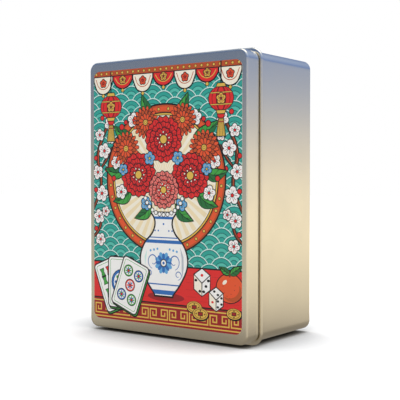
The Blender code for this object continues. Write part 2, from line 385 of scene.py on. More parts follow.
# Printed label: a flower vase, plum branches, lanterns and table games, in flat inks with a black line
labelPrint = {
    "thick": 0.09 * mm,
    "cornerRadius": 4 * mm,
    "cornerSteps": 10,
    "roughness": 0.38,
    "mottle": 0.05,
    "straightness": 0.012,  # mm that a drawn line may move where points are dropped
    "inks": {
        "black": (20, 16, 17), "teal": (38, 165, 150), "tealDark": (14, 112, 108),
        "tealLight": (82, 190, 172),
        "foam": (206, 236, 228), "cream": (248, 240, 220), "straw": (243, 224, 182),
        "white": (247, 246, 243),
        "grey": (186, 192, 200), "red": (226, 32, 30), "redDark": (160, 18, 26), "orange": (232, 84, 34),
        "orangeDark": (190, 78, 26), "brown": (104, 56, 28), "green": (64, 166, 66),
        "greenDark": (34, 116, 56),
        "blue": (40, 108, 184), "blueLight": (98, 170, 220), "gold": (226, 184, 76),
        "pink": (240, 122, 112),
    },
}
labelWide = (labelHigh.x - labelLow.x) / mm  # the drawing is in millimetres, from the label's middle
labelTall = (labelHigh.z - labelLow.z) / mm
inkShapes = []  # each shape's points and ink, painted in this order


def paint(points, ink):
    inkShapes.append((points, ink))


def around(center, radius, steps=24, start=0.0, end=360.0, squash=1.0, turn=0.0):
    count = steps if end - start >= 360 else steps + 1
    cosTurn, sinTurn = math.cos(math.radians(turn)), math.sin(math.radians(turn))
    found = []
    for step in range(count):
        angle = math.radians(start + (end - start) * step / steps)
        x, y = radius * math.cos(angle), radius * squash * math.sin(angle)
        found.append((center[0] + x * cosTurn - y * sinTurn, center[1] + x * sinTurn + y * cosTurn))
    return found


def placed(points, center, turn=0.0, size=1.0):
    cosTurn, sinTurn = math.cos(math.radians(turn)) * size, math.sin(math.radians(turn)) * size
    return [(center[0] + x * cosTurn - y * sinTurn, center[1] + x * sinTurn + y * cosTurn) for x,
            y in points]


def curveThrough(points, steps=6):
    found = []
    for index in range(len(points) - 1):
        four = (points[max(index - 1, 0)], points[index], points[index + 1],
                points[min(index + 2, len(points) - 1)])
        for step in range(steps):
            t = step / steps
            found.append(tuple(0.5 * (2 * b + (c - a) * t + (2 * a - 5 * b + 4 * c - d) * t * t
                                      + (3 * b - a - 3 * c + d) * t ** 3) for a, b, c, d in zip(*four)))
    return found + [points[-1]]


def penLine(points, width, ink="black", closed=False, taper=0.0):
    count = len(points)
    left, right = [], []
    for index, (x, y) in enumerate(points):
        before = points[index - 1] if index or closed else points[0]
        after = points[(index + 1) % count] if index < count - 1 or closed else points[-1]
        dx, dy = after[0] - before[0], after[1] - before[1]
        length = math.hypot(dx, dy) or 1
        half = max(width / 2 * (1 - taper * abs(2 * index / (count - 1) - 1) ** 1.5), 0.05)
        left.append((x - dy / length * half, y + dx / length * half))
        right.append((x + dy / length * half, y - dx / length * half))
    if closed:
        for index in range(count):
            after = (index + 1) % count
            paint([left[index], right[index], right[after], left[after]], ink)
    else:
        paint(left + right[::-1], ink)


def grown(points, amount):  # the outline moved outwards, mitred at its corners
    area = sum(a[0] * b[1] - b[0] * a[1] for a, b in zip(points, points[1:] + points[:1]))
    side = 1 if area > 0 else -1
    found = []
    for index, (x, z) in enumerate(points):
        before, after = points[index - 1], points[(index + 1) % len(points)]
        first = (x - before[0], z - before[1])
        second = (after[0] - x, after[1] - z)
        firstLength, secondLength = math.hypot(*first) or 1, math.hypot(*second) or 1
        nx = first[1] / firstLength + second[1] / secondLength
        nz = -first[0] / firstLength - second[0] / secondLength
        size = nx * nx + nz * nz
        reach = side * amount * min(2 / size if size else 1, 1.6)
        found.append((x + nx * reach, z + nz * reach))
    return found


def outlined(points, fill, width=0.55, line="black"):
    paint(grown(points, width / 2), line)
    paint(grown(points, -width / 2), fill)


def dot(x, z, radius, ink, line=0.35, steps=14):
    if line:
        paint(around((x, z), radius + line, steps), "black")
    paint(around((x, z), radius, steps), ink)


def petalShape(length, width, notch=0.0, steps=14):  # points outwards along +x from its root at the origin
    found = []
    for step in range(steps):
        angle = 2 * math.pi * step / steps
        along = (1 - math.cos(angle)) / 2
        across = math.sin(angle) * (0.55 + 0.45 * along)
        if notch and along > 0.97:
            along -= notch
        found.append((along * length, across * width / 2))
    return found


def scallops(radius, skip):
    rows = int(labelTall / (radius / 2)) + 2
    for row in range(rows):
        z = labelTall / 2 - row * radius / 2 + radius * 0.3
        shift = radius if row % 2 else 0
        for column in range(-5, 6):
            x = column * 2 * radius + shift
            if skip(x, z):
                continue
            for share, ink, steps in ((1.0, "foam", 12), (0.93, "tealDark", 12), (0.87, "teal", 12),
                                      (0.64, "tealDark", 9),
                                      (0.58, "tealLight", 9), (0.36, "tealDark", 7), (0.30, "teal", 7)):
                paint(around((x, z), radius * share, steps, -13 - share, 193 + share), ink)


def leaf(x, z, length, width, turn, bend=0.0):
    count = 9
    upper = [(length * step / count, width / 2 * math.sin(math.pi * (step / count) ** 0.8)
              + bend * math.sin(math.pi * step / count)) for step in range(count + 1)]
    lower = [(length * step / count, -width / 2 * math.sin(math.pi * (step / count) ** 0.8)
              + bend * math.sin(math.pi * step / count)) for step in range(count + 1)]
    spine = [(length * step / count, bend * math.sin(math.pi * step / count)) for step in range(count + 1)]
    outlined(placed(upper + lower[-2:0:-1], (x, z), turn), "green", 0.6)
    paint(placed(spine + lower[-2:0:-1], (x, z), turn), "greenDark")
    penLine(placed(spine, (x, z), turn), 0.4, taper=0.7)
    for step in (2, 4, 6):
        for side, edge in ((1, upper), (-1, lower)):
            tip = edge[min(step + 2, count)]
            vein = [spine[step], ((spine[step][0] + tip[0]) / 2, (spine[step][1] * 0.45 + tip[1] * 0.55)),
                    (tip[0] * 0.97, tip[1] * 0.85)]
            penLine(placed(vein, (x, z), turn), 0.24)


def peony(x, z, radius, turn, fill, shade, heart="gold"):
    for ring, (count, reach, inner,
               wide) in enumerate(((9, 1.0, 0.30, 0.80), (8, 0.77, 0.22, 0.66), (6, 0.52, 0.1, 0.5))):
        for petal in range(count):
            angle = turn + 360 * (petal + 0.5 * ring) / count
            root = (x + radius * inner * math.cos(math.radians(angle)),
                    z + radius * inner * math.sin(math.radians(angle)))
            length = radius * (reach - inner)
            shape = petalShape(length, radius * wide, 0.14)
            outlined(placed(shape, root, angle), fill, 0.5)
            paint(placed(petalShape(length * 0.62, radius * wide * 0.5), root, angle), shade)
            for side in (-1, 0, 1):
                stroke = [(length * 0.45, side * radius * wide * 0.12),
                          (length * 0.7, side * radius * wide * 0.2),
                          (length * 0.86, side * radius * wide * 0.24)]
                penLine(placed(stroke, root, angle), 0.3, taper=0.8)
    dot(x, z, radius * 0.17, heart, 0.4)
    for stamen in range(9):
        angle = math.radians(turn + 40 * stamen)
        reach = radius * (0.24 if stamen % 2 else 0.3)
        dot(x + reach * math.cos(angle), z + reach * math.sin(angle), 0.45, "cream", 0.22, 8)


def chrysanthemum(x, z, radius, turn, fill, shade):
    for ring, (count, reach, inner) in enumerate(((18, 1.0, 0.35), (15, 0.78, 0.2), (11, 0.55, 0.08))):
        for petal in range(count):
            angle = turn + 360 * (petal + 0.5 * ring) / count
            root = (x + radius * inner * math.cos(math.radians(angle)),
                    z + radius * inner * math.sin(math.radians(angle)))
            shape = petalShape(radius * (reach - inner), radius * 0.30, steps=10)
            outlined(placed(shape, root, angle), fill if ring % 2 == 0 else shade, 0.34)
    dot(x, z, radius * 0.16, "gold", 0.4)
    for seed in range(6):
        angle = math.radians(turn + 60 * seed)
        paint(around((x + radius * 0.08 * math.cos(angle), z + radius * 0.08 * math.sin(angle)), 0.25, 6),
              "brown")


def blossom(x, z, radius, turn, fill="white", heart="red"):
    for petal in range(5):
        angle = turn + 72 * petal
        middle = (x + radius * 0.55 * math.cos(math.radians(angle)),
                  z + radius * 0.55 * math.sin(math.radians(angle)))
        outlined(around(middle, radius * 0.42, 12), fill, 0.45)
    for petal in range(5):
        angle = turn + 72 * petal
        middle = (x + radius * 0.5 * math.cos(math.radians(angle)),
                  z + radius * 0.5 * math.sin(math.radians(angle)))
        paint(around(middle, radius * 0.36, 10), fill)
        for side in (-13, 13):
            ray = math.radians(angle + side)
            penLine([(x + radius * 0.2 * math.cos(ray), z + radius * 0.2 * math.sin(ray)),
                     (x + radius * 0.55 * math.cos(ray), z + radius * 0.55 * math.sin(ray))], 0.22)
            paint(around((x + radius * 0.58 * math.cos(ray), z + radius * 0.58 * math.sin(ray)), 0.26, 6),
                  heart)
    dot(x, z, radius * 0.16, heart, 0.28, 10)


def branch(points, width):
    path = curveThrough(points, 5)
    penLine(path, width + 1.1, "black", taper=0.35)
    penLine(path, width, "brown", taper=0.4)
    penLine([(px + width * 0.16, pz + width * 0.1) for px, pz in path[1:-2]], width * 0.22, "orange",
            taper=0.7)


def tassel(x, z, length, width, ink="gold"):
    dot(x, z, width * 0.42, "red", 0.4, 10)
    top, low = z - width * 0.4, z - length
    outlined([(x - width * 0.3, top), (x + width * 0.3, top), (x + width * 0.55, low),
              (x - width * 0.55, low)], ink, 0.45)
    for strand in range(-2, 3):
        penLine([(x + strand * width * 0.1, top), (x + strand * width * 0.2, low + 0.2)], 0.22)
    penLine([(x - width * 0.38, top - length * 0.16), (x + width * 0.38, top - length * 0.16)], 0.5,
            "redDark")


def lantern(x, z, radius):
    penLine([(x, z + radius * 2.6), (x, z)], 0.8)
    tassel(x, z - radius * 1.05, radius * 1.5, radius * 0.7)
    paint(around((x, z), radius + 0.45, 28, squash=0.82), "black")
    paint(around((x, z), radius, 28, squash=0.82), "red")
    for share in (0.72, 0.38):
        for ink, grow in (("black", 0.3), ("redDark" if share < 0.5 else "red", 0.0)):
            paint(around((x, z), radius * share + grow, 22,
                         squash=0.82 / share * (radius / (radius + grow))), ink)
    paint(around((x, z), radius * 0.26, 18, squash=0.82 / 0.26), "red")
    for share in (-0.4, 0.4):
        wide = radius * math.sqrt(1 - (share / 0.82) ** 2) * 0.98
        penLine([(x - wide, z + radius * share), (x + wide, z + radius * share)], 0.9)
        penLine([(x - wide, z + radius * share), (x + wide, z + radius * share)], 0.5, "gold")
    blossom(x, z, radius * 0.42, 90, "gold", "redDark")
    for side in (1, -1):
        cap = [(x - radius * 0.42, z + side * radius * 0.78), (x + radius * 0.42, z + side * radius * 0.78),
               (x + radius * 0.3, z + side * radius * 1.04), (x - radius * 0.3, z + side * radius * 1.04)]
        outlined(cap, "gold", 0.45)


def fretBand(x0, x1, z, size, line, ink):  # a row of square spirals
    count = int((x1 - x0) / (size * 1.25))
    for index in range(count):
        x = x0 + (x1 - x0) * (index + 0.5) / count
        s = size / 2
        flip = 1 if index % 2 else -1
        spiral = [(-s * 1.25, -s), (s, -s), (s, s), (-s * 0.6, s), (-s * 0.6, -s * 0.3),
                  (s * 0.3, -s * 0.3), (s * 0.3, s * 0.3)]
        shape = [(x + px * flip, z + pz) for px, pz in spiral]
        for first, second in zip(shape, shape[1:]):
            dx, dz = second[0] - first[0], second[1] - first[1]
            length = math.hypot(dx, dz)
            ux, uz = dx / length * line / 2, dz / length * line / 2
            paint([(first[0] - ux - uz, first[1] - uz + ux), (first[0] - ux + uz, first[1] - uz - ux),
                   (second[0] + ux + uz, second[1] + uz - ux), (second[0] + ux - uz, second[1] + uz + ux)],
                  ink)


def roundedBox(halfX, halfZ, radius, steps=5):
    found = []
    for quarter, (sx, sz) in enumerate(((1, 1), (-1, 1), (-1, -1), (1, -1))):
        found += around((sx * (halfX - radius), sz * (halfZ - radius)), radius, steps, 90 * quarter,
                        90 * quarter + 90)
    return found


def rosette(x, z, radius, ink, shade):  # the round figure of the dot suit
    dot(x, z, radius, ink, 0.4, 20)
    paint(around((x, z), radius * 0.8, 18), "white")
    for petal in range(8):
        angle = 45 * petal
        shape = petalShape(radius * 0.62, radius * 0.34, steps=8)
        paint(placed(shape, (x + radius * 0.12 * math.cos(math.radians(angle)),
                             z + radius * 0.12 * math.sin(math.radians(angle))), angle),
              shade if petal % 2 else ink)
    dot(x, z, radius * 0.2, "red", 0.3, 10)


def bambooStick(x, z, length, width, ink, turn=0.0):
    for side in (-1, 1):
        shape = [(-width * 0.5, side * length * 0.04), (-width * 0.32, side * length * 0.25),
                 (-width * 0.55, side * length * 0.48),
                 (width * 0.55, side * length * 0.48), (width * 0.32, side * length * 0.25),
                 (width * 0.5, side * length * 0.04)]
        outlined(placed(shape, (x, z), turn), ink, 0.3)
    penLine(placed([(-width * 0.6, 0), (width * 0.6, 0)], (x, z), turn), 0.5)


def fannedCard(pivot, turn, figure):
    halfX, halfZ, reach = 9.6, 14.2, 17.5
    middle = placed([(0, reach)], pivot, turn)[0]
    paint(placed(roundedBox(halfX + 0.5, halfZ + 0.5, 2.6), (middle[0] + 0.7, middle[1] - 0.9), turn),
          "black")
    paint(placed(roundedBox(halfX, halfZ, 2.2), (middle[0] + 0.5, middle[1] - 0.65), turn), "green")
    outlined(placed(roundedBox(halfX, halfZ, 2.2), middle, turn), "white", 0.7)
    penLine(placed(roundedBox(halfX - 1.5, halfZ - 1.5, 1.2), middle, turn), 0.28, "green", closed=True)
    for kind, dx, dz, size, ink, shade in figure:
        spot = placed([(dx, dz)], middle, turn)[0]
        if kind == "dot":
            rosette(spot[0], spot[1], size, ink, shade)
        else:
            bambooStick(spot[0], spot[1], size, size * 0.3, ink, turn)


def die(x, z, size, turn, pips):
    c, s = size * 0.5, size * 0.29
    top = [(0, size * 0.5 + s), (c, size * 0.5 - s * 0.15), (0, s * 0.15), (-c, size * 0.5 - s * 0.15)]
    leftFace = [(-c, size * 0.5 - s * 0.15), (0, s * 0.15), (0, -size * 0.62), (-c, -size * 0.28)]
    rightFace = [(c, size * 0.5 - s * 0.15), (c, -size * 0.28), (0, -size * 0.62), (0, s * 0.15)]
    for shape, ink in ((top, "white"), (leftFace, "cream"), (rightFace, "white")):
        outlined(placed(shape, (x, z), turn), ink, 0.6)
    corners = {"top": top, "left": leftFace, "right": rightFace}
    for face, u, v, ink in pips:
        a, b, c2, d = corners[face]
        px = (a[0] * (1 - u) + b[0] * u) * (1 - v) + (d[0] * (1 - u) + c2[0] * u) * v
        pz = (a[1] * (1 - u) + b[1] * u) * (1 - v) + (d[1] * (1 - u) + c2[1] * u) * v
        spot = placed([(px, pz)], (x, z), turn)[0]
        paint(around(spot, size * 0.09, 10, squash=0.8), ink)


def coin(x, z, radius, squash=1.0):
    paint(around((x + 0.25, z - 0.55), radius + 0.45, 22, squash=squash), "black")
    paint(around((x, z), radius + 0.35, 22, squash=squash), "black")
    paint(around((x, z), radius, 22, squash=squash), "gold")
    penLine(around((x, z), radius * 0.8, 20, squash=squash), 0.3, "brown", closed=True)
    side = radius * 0.3
    outlined([(x - side, z - side * squash), (x + side, z - side * squash), (x + side, z + side * squash),
              (x - side, z + side * squash)], "redDark", 0.35)
    for turn in (0, 90, 180, 270):
        spot = around((x, z), radius * 0.57, 1, turn, turn, squash=squash)[0]
        paint(around(spot, radius * 0.1, 8), "brown")


def tangerine(x, z, radius):
    paint(around((x, z), radius + 0.55, 26, squash=0.9), "black")
    paint(around((x, z), radius, 26, squash=0.9), "orange")
    paint(around((x + radius * 0.16, z - radius * 0.2), radius * 0.74, 22, squash=0.86), "orangeDark")
    paint(around((x - radius * 0.06, z + radius * 0.05), radius * 0.78, 22, squash=0.86), "orange")
    for px, pz in ((-0.4, -0.3), (-0.2, -0.5), (0.1, -0.35), (0.35, -0.1), (0.4, 0.2), (-0.5, 0.1),
                   (0, -0.62)):
        paint(around((x + px * radius, z + pz * radius), 0.26, 6), "redDark")
    paint(around((x - radius * 0.38, z + radius * 0.36), radius * 0.2, 10, squash=0.6, turn=40), "cream")


def stripe(low, high, ink):  # a stripe across the label, trimmed later with everything else
    reach = labelWide / 2 + 1 + 0.013 * (len(inkShapes) % 37)
    paint([(-reach, low), (reach, low), (reach, high), (-reach, high)], ink)


def wideAt(profile, z):  # how wide a profile of rising points is at a height
    for first, second in zip(profile, profile[1:]):
        if first[1] <= z <= second[1]:
            return first[0] + (second[0] - first[0]) * (z - first[1]) / (second[1] - first[1])
    return profile[-1][0]


def drawLabel():
    random.seed(11)
    halfX, halfZ = labelWide / 2, labelTall / 2
    over, under = halfZ + 1.1, -halfZ - 1.3
    stripe(under - 0.4, over + 0.4, "tealDark")
    gate = (0, 9)
    gateRadius = 40
    tableTop = -37
    scallops(7.6, lambda x, z: math.hypot(x - gate[0], z - gate[1]) < gateRadius - 9 or z < tableTop - 9)

    # canopy along the top
    for index in range(7):
        x = -halfX + labelWide * (index + 0.5) / 7
        wide = labelWide / 14 * 0.985
        drop = 10.5 + (2.5 if index % 2 == 0 else 0)
        sag = [(x - wide, halfZ - 5.5), (x - wide * 0.62, halfZ - drop * 0.86), (x, halfZ - drop),
               (x + wide * 0.62, halfZ - drop * 0.86), (x + wide, halfZ - 5.5)]
        shape = [(x - wide, halfZ - 1)] + curveThrough(sag, 4) + [(x + wide, halfZ - 1)]
        outlined(shape, "cream" if index % 2 == 0 else "red", 0.8)
        inner = placed([(px - x, pz - halfZ) for px, pz in shape], (x, halfZ), 0, 0.78)
        penLine(inner[1:-1], 0.45, "orangeDark" if index % 2 == 0 else "gold")
        blossom(x, halfZ - drop * 0.52, 2.6, 90, "orange" if index % 2 == 0 else "gold",
                "red" if index % 2 == 0 else "redDark")
        dot(x, halfZ - drop - 0.8, 0.9, "gold", 0.4, 10)
    stripe(halfZ - 3.4, over, "black")
    stripe(halfZ - 2.9, over + 0.2, "orangeDark")
    for index in range(26):
        dot(-halfX + labelWide * (index + 0.5) / 26, halfZ - 1.5, 0.7, "gold", 0.25, 8)

    # plum branches down both sides
    for side in (-1, 1):
        branch([(side * 51, -8), (side * 45, 6), (side * 47.5, 22), (side * 42, 36), (side * 36, 44)], 1.7)
        branch([(side * 46.5, 14), (side * 41, 20), (side * 37, 27)], 0.9)
        branch([(side * 51, -24), (side * 46, -18), (side * 44, -8)], 1.1)
        for x, z, radius, turn in ((44.5, 1, 5.0, 10), (47.5, 13, 4.4, 40), (42.5, 25, 4.8, 75),
                                   (46, 34, 3.8, 20), (38.5, 40, 4.2, 55), (46.5, -12, 4.4, 30),
                                   (41.5, -9, 3.2, 0), (45.5, -25, 4.0, 62), (37.6, 31.5, 3.0, 10)):
            blossom(side * x, z, radius, turn)
        for x, z in ((49, 21), (44, 43.5), (40.5, 14.5), (49, 3), (48.8, -19), (35.5, 47)):
            dot(side * x, z, 1.2, "red", 0.45, 12)

    # moon gate
    for radius, ink in ((gateRadius + 0.9, "black"), (gateRadius, "orangeDark"),
                        (gateRadius - 0.9, "orange"), (gateRadius - 3.3, "orangeDark"),
                        (gateRadius - 3.9, "black"), (gateRadius - 4.5, "gold"),
                        (gateRadius - 5.3, "black"), (gateRadius - 5.7, "cream")):
        paint(around(gate, radius, 96), ink)
    for index in range(36):
        angle = math.radians(10 * index + 5)
        dot(gate[0] + (gateRadius - 2.1) * math.cos(angle), gate[1] + (gateRadius - 2.1) * math.sin(angle),
            0.75, "gold", 0.3, 10)
    for index in range(40):
        low, high = math.radians(9 * index), math.radians(9 * index + 4.5)
        reach = gateRadius - 6.2
        paint([gate, (gate[0] + reach * math.cos(low), gate[1] + reach * math.sin(low)),
               (gate[0] + reach * math.cos(high), gate[1] + reach * math.sin(high))], "straw")

    # lanterns
    for side in (-1, 1):
        lantern(side * 37.5, 49.5 if side < 0 else 50.5, 7.6)

    # lacquer table
    stripe(under, tableTop, "black")
    stripe(under - 0.1, tableTop - 0.8, "red")
    for row in range(9):
        z = tableTop - 2.6 - row * 1.9
        for piece in range(7):
            x = -halfX + (piece + (0.5 if row % 2 else 0.1) + random.uniform(-0.2, 0.2)) * labelWide / 7
            penLine([(x, z), (x + random.uniform(4, 9), z + random.uniform(-0.3, 0.3))], 0.32, "redDark",
                    taper=0.9)
    edge = tableTop - 20.5
    stripe(under - 0.2, edge, "black")
    stripe(under - 0.3, edge - 0.7, "redDark")
    for z in (edge - 1.6, -halfZ + 1.7):
        stripe(z - 0.7, z, "gold")
    fretBand(-halfX + 0.5, halfX - 0.5, (edge - 2.3 - halfZ + 1.7) / 2, 5.2, 0.75, "gold")

    # vase
    vase = curveThrough([(6.2, -54), (6.8, -52.4), (10.5, -48), (15.2, -40), (16.2, -33), (13.5, -26),
                         (8.2, -20.5), (6.0, -16), (6.4, -12), (9.2, -8.5)], 4)
    shape = vase + [(-px, pz) for px, pz in reversed(vase)]
    paint(around((1.5, -54.2), 12.5, 24, squash=0.2), "redDark")
    outlined(shape, "white", 1.0)
    for low, high, ink in ((-53, -50.6, "blue"), (-25.4, -23.6, "blue"), (-22.6, -22.0, "blue"),
                           (-47.9, -47.2, "blue"), (-12.4, -11.0, "blue")):
        band = [(wideAt(vase, z) - 0.4, z) for z in (low, (low + high) / 2, high)]
        paint(band + [(-px, pz) for px, pz in reversed(band)], ink)
    for turn in range(0, 360, 45):
        paint(placed(petalShape(6.2, 3.4), (0, -36), turn + 22.5), "blueLight")
        paint(placed(petalShape(5.4, 2.4), (0, -36), turn), "blue")
    dot(0, -36, 1.7, "white", 0.5)
    dot(0, -36, 0.8, "blue", 0)
    for side in (-1, 1):
        for x, z, wide, tall, pitch, last, line in ((7.2, -35, 3.4, 3.8, 0.35, 16, 0.6),
                                                    (9.8, -42.0, 2.2, 2.2, 0.4, 14, 0.5)):
            scroll = [(side * (x + wide * math.cos(t) * (1 - t / 9)), z + tall * math.sin(t) * (1 - t / 9))
                      for t in [step * pitch for step in range(-4, last)]]
            penLine(scroll, line, "blue", taper=0.5)
        for index, (x, z, radius) in enumerate(((3.6, -18.6, 0.5), (3.6 + 2.2, -18.6, 0.5), (0, -15, 0.6))):
            paint(around((side * (4.2 + index * 2.4), -28.5 - index * 0.5), 0.7, 8), "blueLight")
            paint(around((side * x, z), radius, 8), "blue")
    paint([(12.6, -44), (13.6, -38), (13.4, -32), (11.2, -27), (12.2, -33), (12.2, -39)], "grey")
    paint([(-12.8, -38), (-13.2, -33), (-11.4, -29), (-11.9, -33)], "foam")

    # bouquet: leaves first, then blooms from the back to the front
    for x, z, length, width, turn, bend in (
            (-20, 30, 18, 7.5, 150, 1.5), (20, 31, 18, 7.5, 28, -1.5), (-8, 42, 15, 6.5, 118, 1),
            (9, 42, 15, 6.5, 60, -1), (-26, 14, 16, 7, 176, 2), (26, 13, 16, 7, 2, -2),
            (-22, 4, 16, 7, 208, 2), (22, 3, 16, 7, -30, -2), (-8, -4, 15, 6.5, 214, 2),
            (8, -4, 15, 6.5, -36, -2), (-14, 38, 12, 6, 140, 1), (15, 38, 12, 6, 40, -1)):
        leaf(x, z, length, width, turn, bend)
    for side in (-1, 1):
        blossom(side * 21, 41.5, 4.6, 15)
        blossom(side * 33.5, 18.5, 4.2, 40)
        blossom(side * 30, 2.0, 4.4, 5)
        dot(side * 29.5, 38, 1.5, "red", 0.45, 12)
        dot(side * 26.6, 40.5, 1.1, "red", 0.45, 12)
        dot(side * 35.4, 9.5, 1.3, "red", 0.45, 12)
    chrysanthemum(-12.5, 40, 9.0, 0, "orange", "orangeDark")
    chrysanthemum(12.8, 40.6, 9.0, 9, "orange", "orangeDark")
    peony(0, 30.5, 13.0, 12, "red", "redDark")
    chrysanthemum(-26.5, 26, 9.6, 4, "orange", "orangeDark")
    chrysanthemum(26.8, 25.6, 9.6, 14, "orange", "orangeDark")
    peony(-17.5, 11.5, 12.6, 40, "red", "redDark")
    peony(17.8, 11.0, 12.6, 5, "red", "redDark")
    for side in (-1, 1):
        blossom(side * 9.6, 20.4, 4.0, 30 + side * 20, "blueLight", "gold")
        blossom(side * 28.5, 14.4, 3.6, 50, "blueLight", "gold")
        blossom(side * 12, -4.2, 4.0, 0, "blueLight", "gold")
    peony(0, 3.4, 10.6, 25, "pink", "red")
    for index in range(13):
        angle = math.radians(200 + index * 140 / 12)
        dot(13.4 * math.cos(angle), 3.4 + 13.4 * math.sin(angle), 0.95, "white", 0.4, 12)

    # cards, dice, fruit and coins on the table
    dots = [("dot", -3.9, 7.2, 3.0, "green", "blue"), ("dot", 3.9, 7.2, 3.0, "blue", "green"),
            ("dot", 0, 0, 3.2, "red", "blue"), ("dot", -3.9, -7.2, 3.0, "blue", "green"),
            ("dot", 3.9, -7.2, 3.0, "green", "blue")]
    sticks = [("stick", dx, dz, 9.5, "red" if dz > 3 and dx == 0 else "green", "") for dz in (5.9, -5.9)
              for dx in (-4.6, 0, 4.6)]
    fannedCard((-30, -66), 22, sticks)
    fannedCard((-30, -66), 0, [("dot", 0, 0, 7.0, "blue", "green")])
    fannedCard((-30, -66), -21, dots)
    die(25.5, -45.5, 10.5, 0,
        [("top", 0.5, 0.5, "red"), ("left", 0.25, 0.25, "black"), ("left", 0.75, 0.75, "black"),
         ("right", 0.25, 0.22, "black"), ("right", 0.5, 0.5, "black"), ("right", 0.75, 0.78, "black")])
    tangerine(43, -46.5, 8.2)
    leaf(43, -39.6, 9, 4.2, 32)
    leaf(43, -39.6, 7.5, 3.6, 150)
    penLine([(43, -38.6), (43, -40.8)], 0.9, "brown")
    die(34.5, -53.5, 9.0, 0,
        [("top", 0.25, 0.5, "black"), ("top", 0.75, 0.5, "black"), ("left", 0.5, 0.5, "red"),
         ("right", 0.25, 0.25, "black"), ("right", 0.75, 0.25, "black"), ("right", 0.25, 0.75, "black"),
         ("right", 0.75, 0.75, "black")])
    coin(20.5, -58.0, 4.8, 0.62)
    coin(45.6, -59.4, 4.4, 0.62)
    coin(24.5, -61.2, 4.8, 0.62)


def insideShape(shape, spots):  # which of the spots lie in the shape
    inside = np.zeros(len(spots), bool)
    for (ax, az), (bx, bz) in zip(shape, np.roll(shape, -1, axis=0)):
        if az != bz:
            crossing = (az > spots[:, 1]) != (bz > spots[:, 1])
            inside ^= crossing & (spots[:, 0] < (bx - ax) * (spots[:, 1] - az) / (bz - az) + ax)
    return inside


def inksAt(shapes, codes, outline, spots):  # the last shape painted over each spot, or -1 off the label
    order = np.argsort(spots[:, 0])
    sortedX = spots[order, 0]
    found = np.full(len(spots), -1)
    for shape, code in zip(reversed(shapes), reversed(codes)):
        low, high = shape.min(axis=0), shape.max(axis=0)
        here = order[np.searchsorted(sortedX, low[0]):np.searchsorted(sortedX, high[0])]
        here = here[(found[here] < 0) & (spots[here, 1] > low[1]) & (spots[here, 1] < high[1])]
        if len(here):
            found[here[insideShape(shape, spots[here])]] = code
    found[~insideShape(outline, spots)] = -1
    return found


def triangulated(points, edges):
    made = delaunay_2d_cdt([Vector(point) for point in points], edges, [], 0, 1e-5, False)
    return np.array([tuple(point) for point in made[0]]), np.array([tuple(face) for face in made[2]])


def edgesBetween(triangles, inks):  # the edges with another ink on each side
    users = {}
    for index, (a, b, c) in enumerate(triangles.tolist()):
        for first, second in ((a, b), (b, c), (c, a)):
            users.setdefault((min(first, second), max(first, second)), []).append(index)
    return [edge for edge, both in users.items() if len(both) == 2 and inks[both[0]] != inks[both[1]]]


def straightened(points, edges, tolerance):  # drops the points that lie on a straight run
    near = {}
    for a, b in edges:
        near.setdefault(a, set()).add(b)
        near.setdefault(b, set()).add(a)
    for point in sorted(near):
        if len(near[point]) != 2:
            continue
        a, b = near[point]
        along = points[b] - points[a]
        length = math.hypot(along[0], along[1])
        offset = points[point] - points[a]
        if b in near[a] or length < 1e-6 or length > 6:
            continue
        if abs(along[0] * offset[1] - along[1] * offset[0]) / length < tolerance:
            near[a].discard(point)
            near[b].discard(point)
            near[a].add(b)
            near[b].add(a)
            del near[point]
    kept = {point: index for index, point in enumerate(sorted(near))}
    return points[sorted(near)], [(kept[a], kept[b]) for a in near for b in near[a] if a < b]


# a thin closed sheet facing the front
def printedSheet(name, draw, halfWide, halfTall, radius, front, middle, thick):
    inkShapes.clear()
    draw()
    names = sorted({ink for shape, ink in inkShapes} | {"cream"})
    outline = np.array(roundedBox(halfWide / mm, halfTall / mm, radius / mm, labelPrint["cornerSteps"]))
    nudge = random.Random(5)  # keeps two shapes from sharing an edge exactly
    shapes, codes, points, edges = [], [], [], []
    for shape, ink in inkShapes:
        dx, dz = nudge.uniform(-0.004, 0.004), nudge.uniform(-0.004, 0.004)
        shapes.append(np.array([(x + dx, z + dz) for x, z in shape]))
        codes.append(names.index(ink))
    for shape in [outline] + shapes:
        start, count = len(points), len(shape)
        points += [tuple(point) for point in shape]
        edges += [(start + index, start + (index + 1) % count) for index in range(count)]
    points, triangles = triangulated(points, edges)
    inks = inksAt(shapes, codes, outline, points[triangles].mean(axis=1))
    points, edges = straightened(points, edgesBetween(triangles, inks), labelPrint["straightness"])
    points, triangles = triangulated(points.tolist(), edges)
    inks = inksAt(shapes, codes, outline, points[triangles].mean(axis=1))

    work = bmesh.new()
    verts = [work.verts.new((middle[0] + x * mm, front, middle[1] + z * mm)) for x, z in points.tolist()]
    for triangle, ink in zip(triangles.tolist(), inks.tolist()):
        if ink >= 0:
            work.faces.new([verts[index] for index in triangle]).material_index = ink
    for vert in [vert for vert in work.verts if not vert.link_faces]:
        work.verts.remove(vert)
    rim = [edge for edge in work.edges if len(edge.link_faces) == 1]
    made = bmesh.ops.extrude_edge_only(work, edges=rim)["geom"]
    moved = [item for item in made if isinstance(item, bmesh.types.BMVert)]
    bmesh.ops.translate(work, verts=moved, vec=(0, thick, 0))
    backEdges = [item for item in made
                 if isinstance(item, bmesh.types.BMEdge) and len(item.link_faces) == 1]
    back = bmesh.ops.contextual_create(work, geom=backEdges)["faces"]
    work.normal_update()
    for face in work.faces:
        if face in back or abs(face.normal.y) < 0.5:
            face.material_index = names.index("cream")
    piece = addObject(name, meshFrom(name, work), *[inkMaterial(ink) for ink in names])
    print(name, "printed:", len(inkShapes), "shapes,", len(piece.data.polygons), "faces")
    return piece


inkMaterials = {}


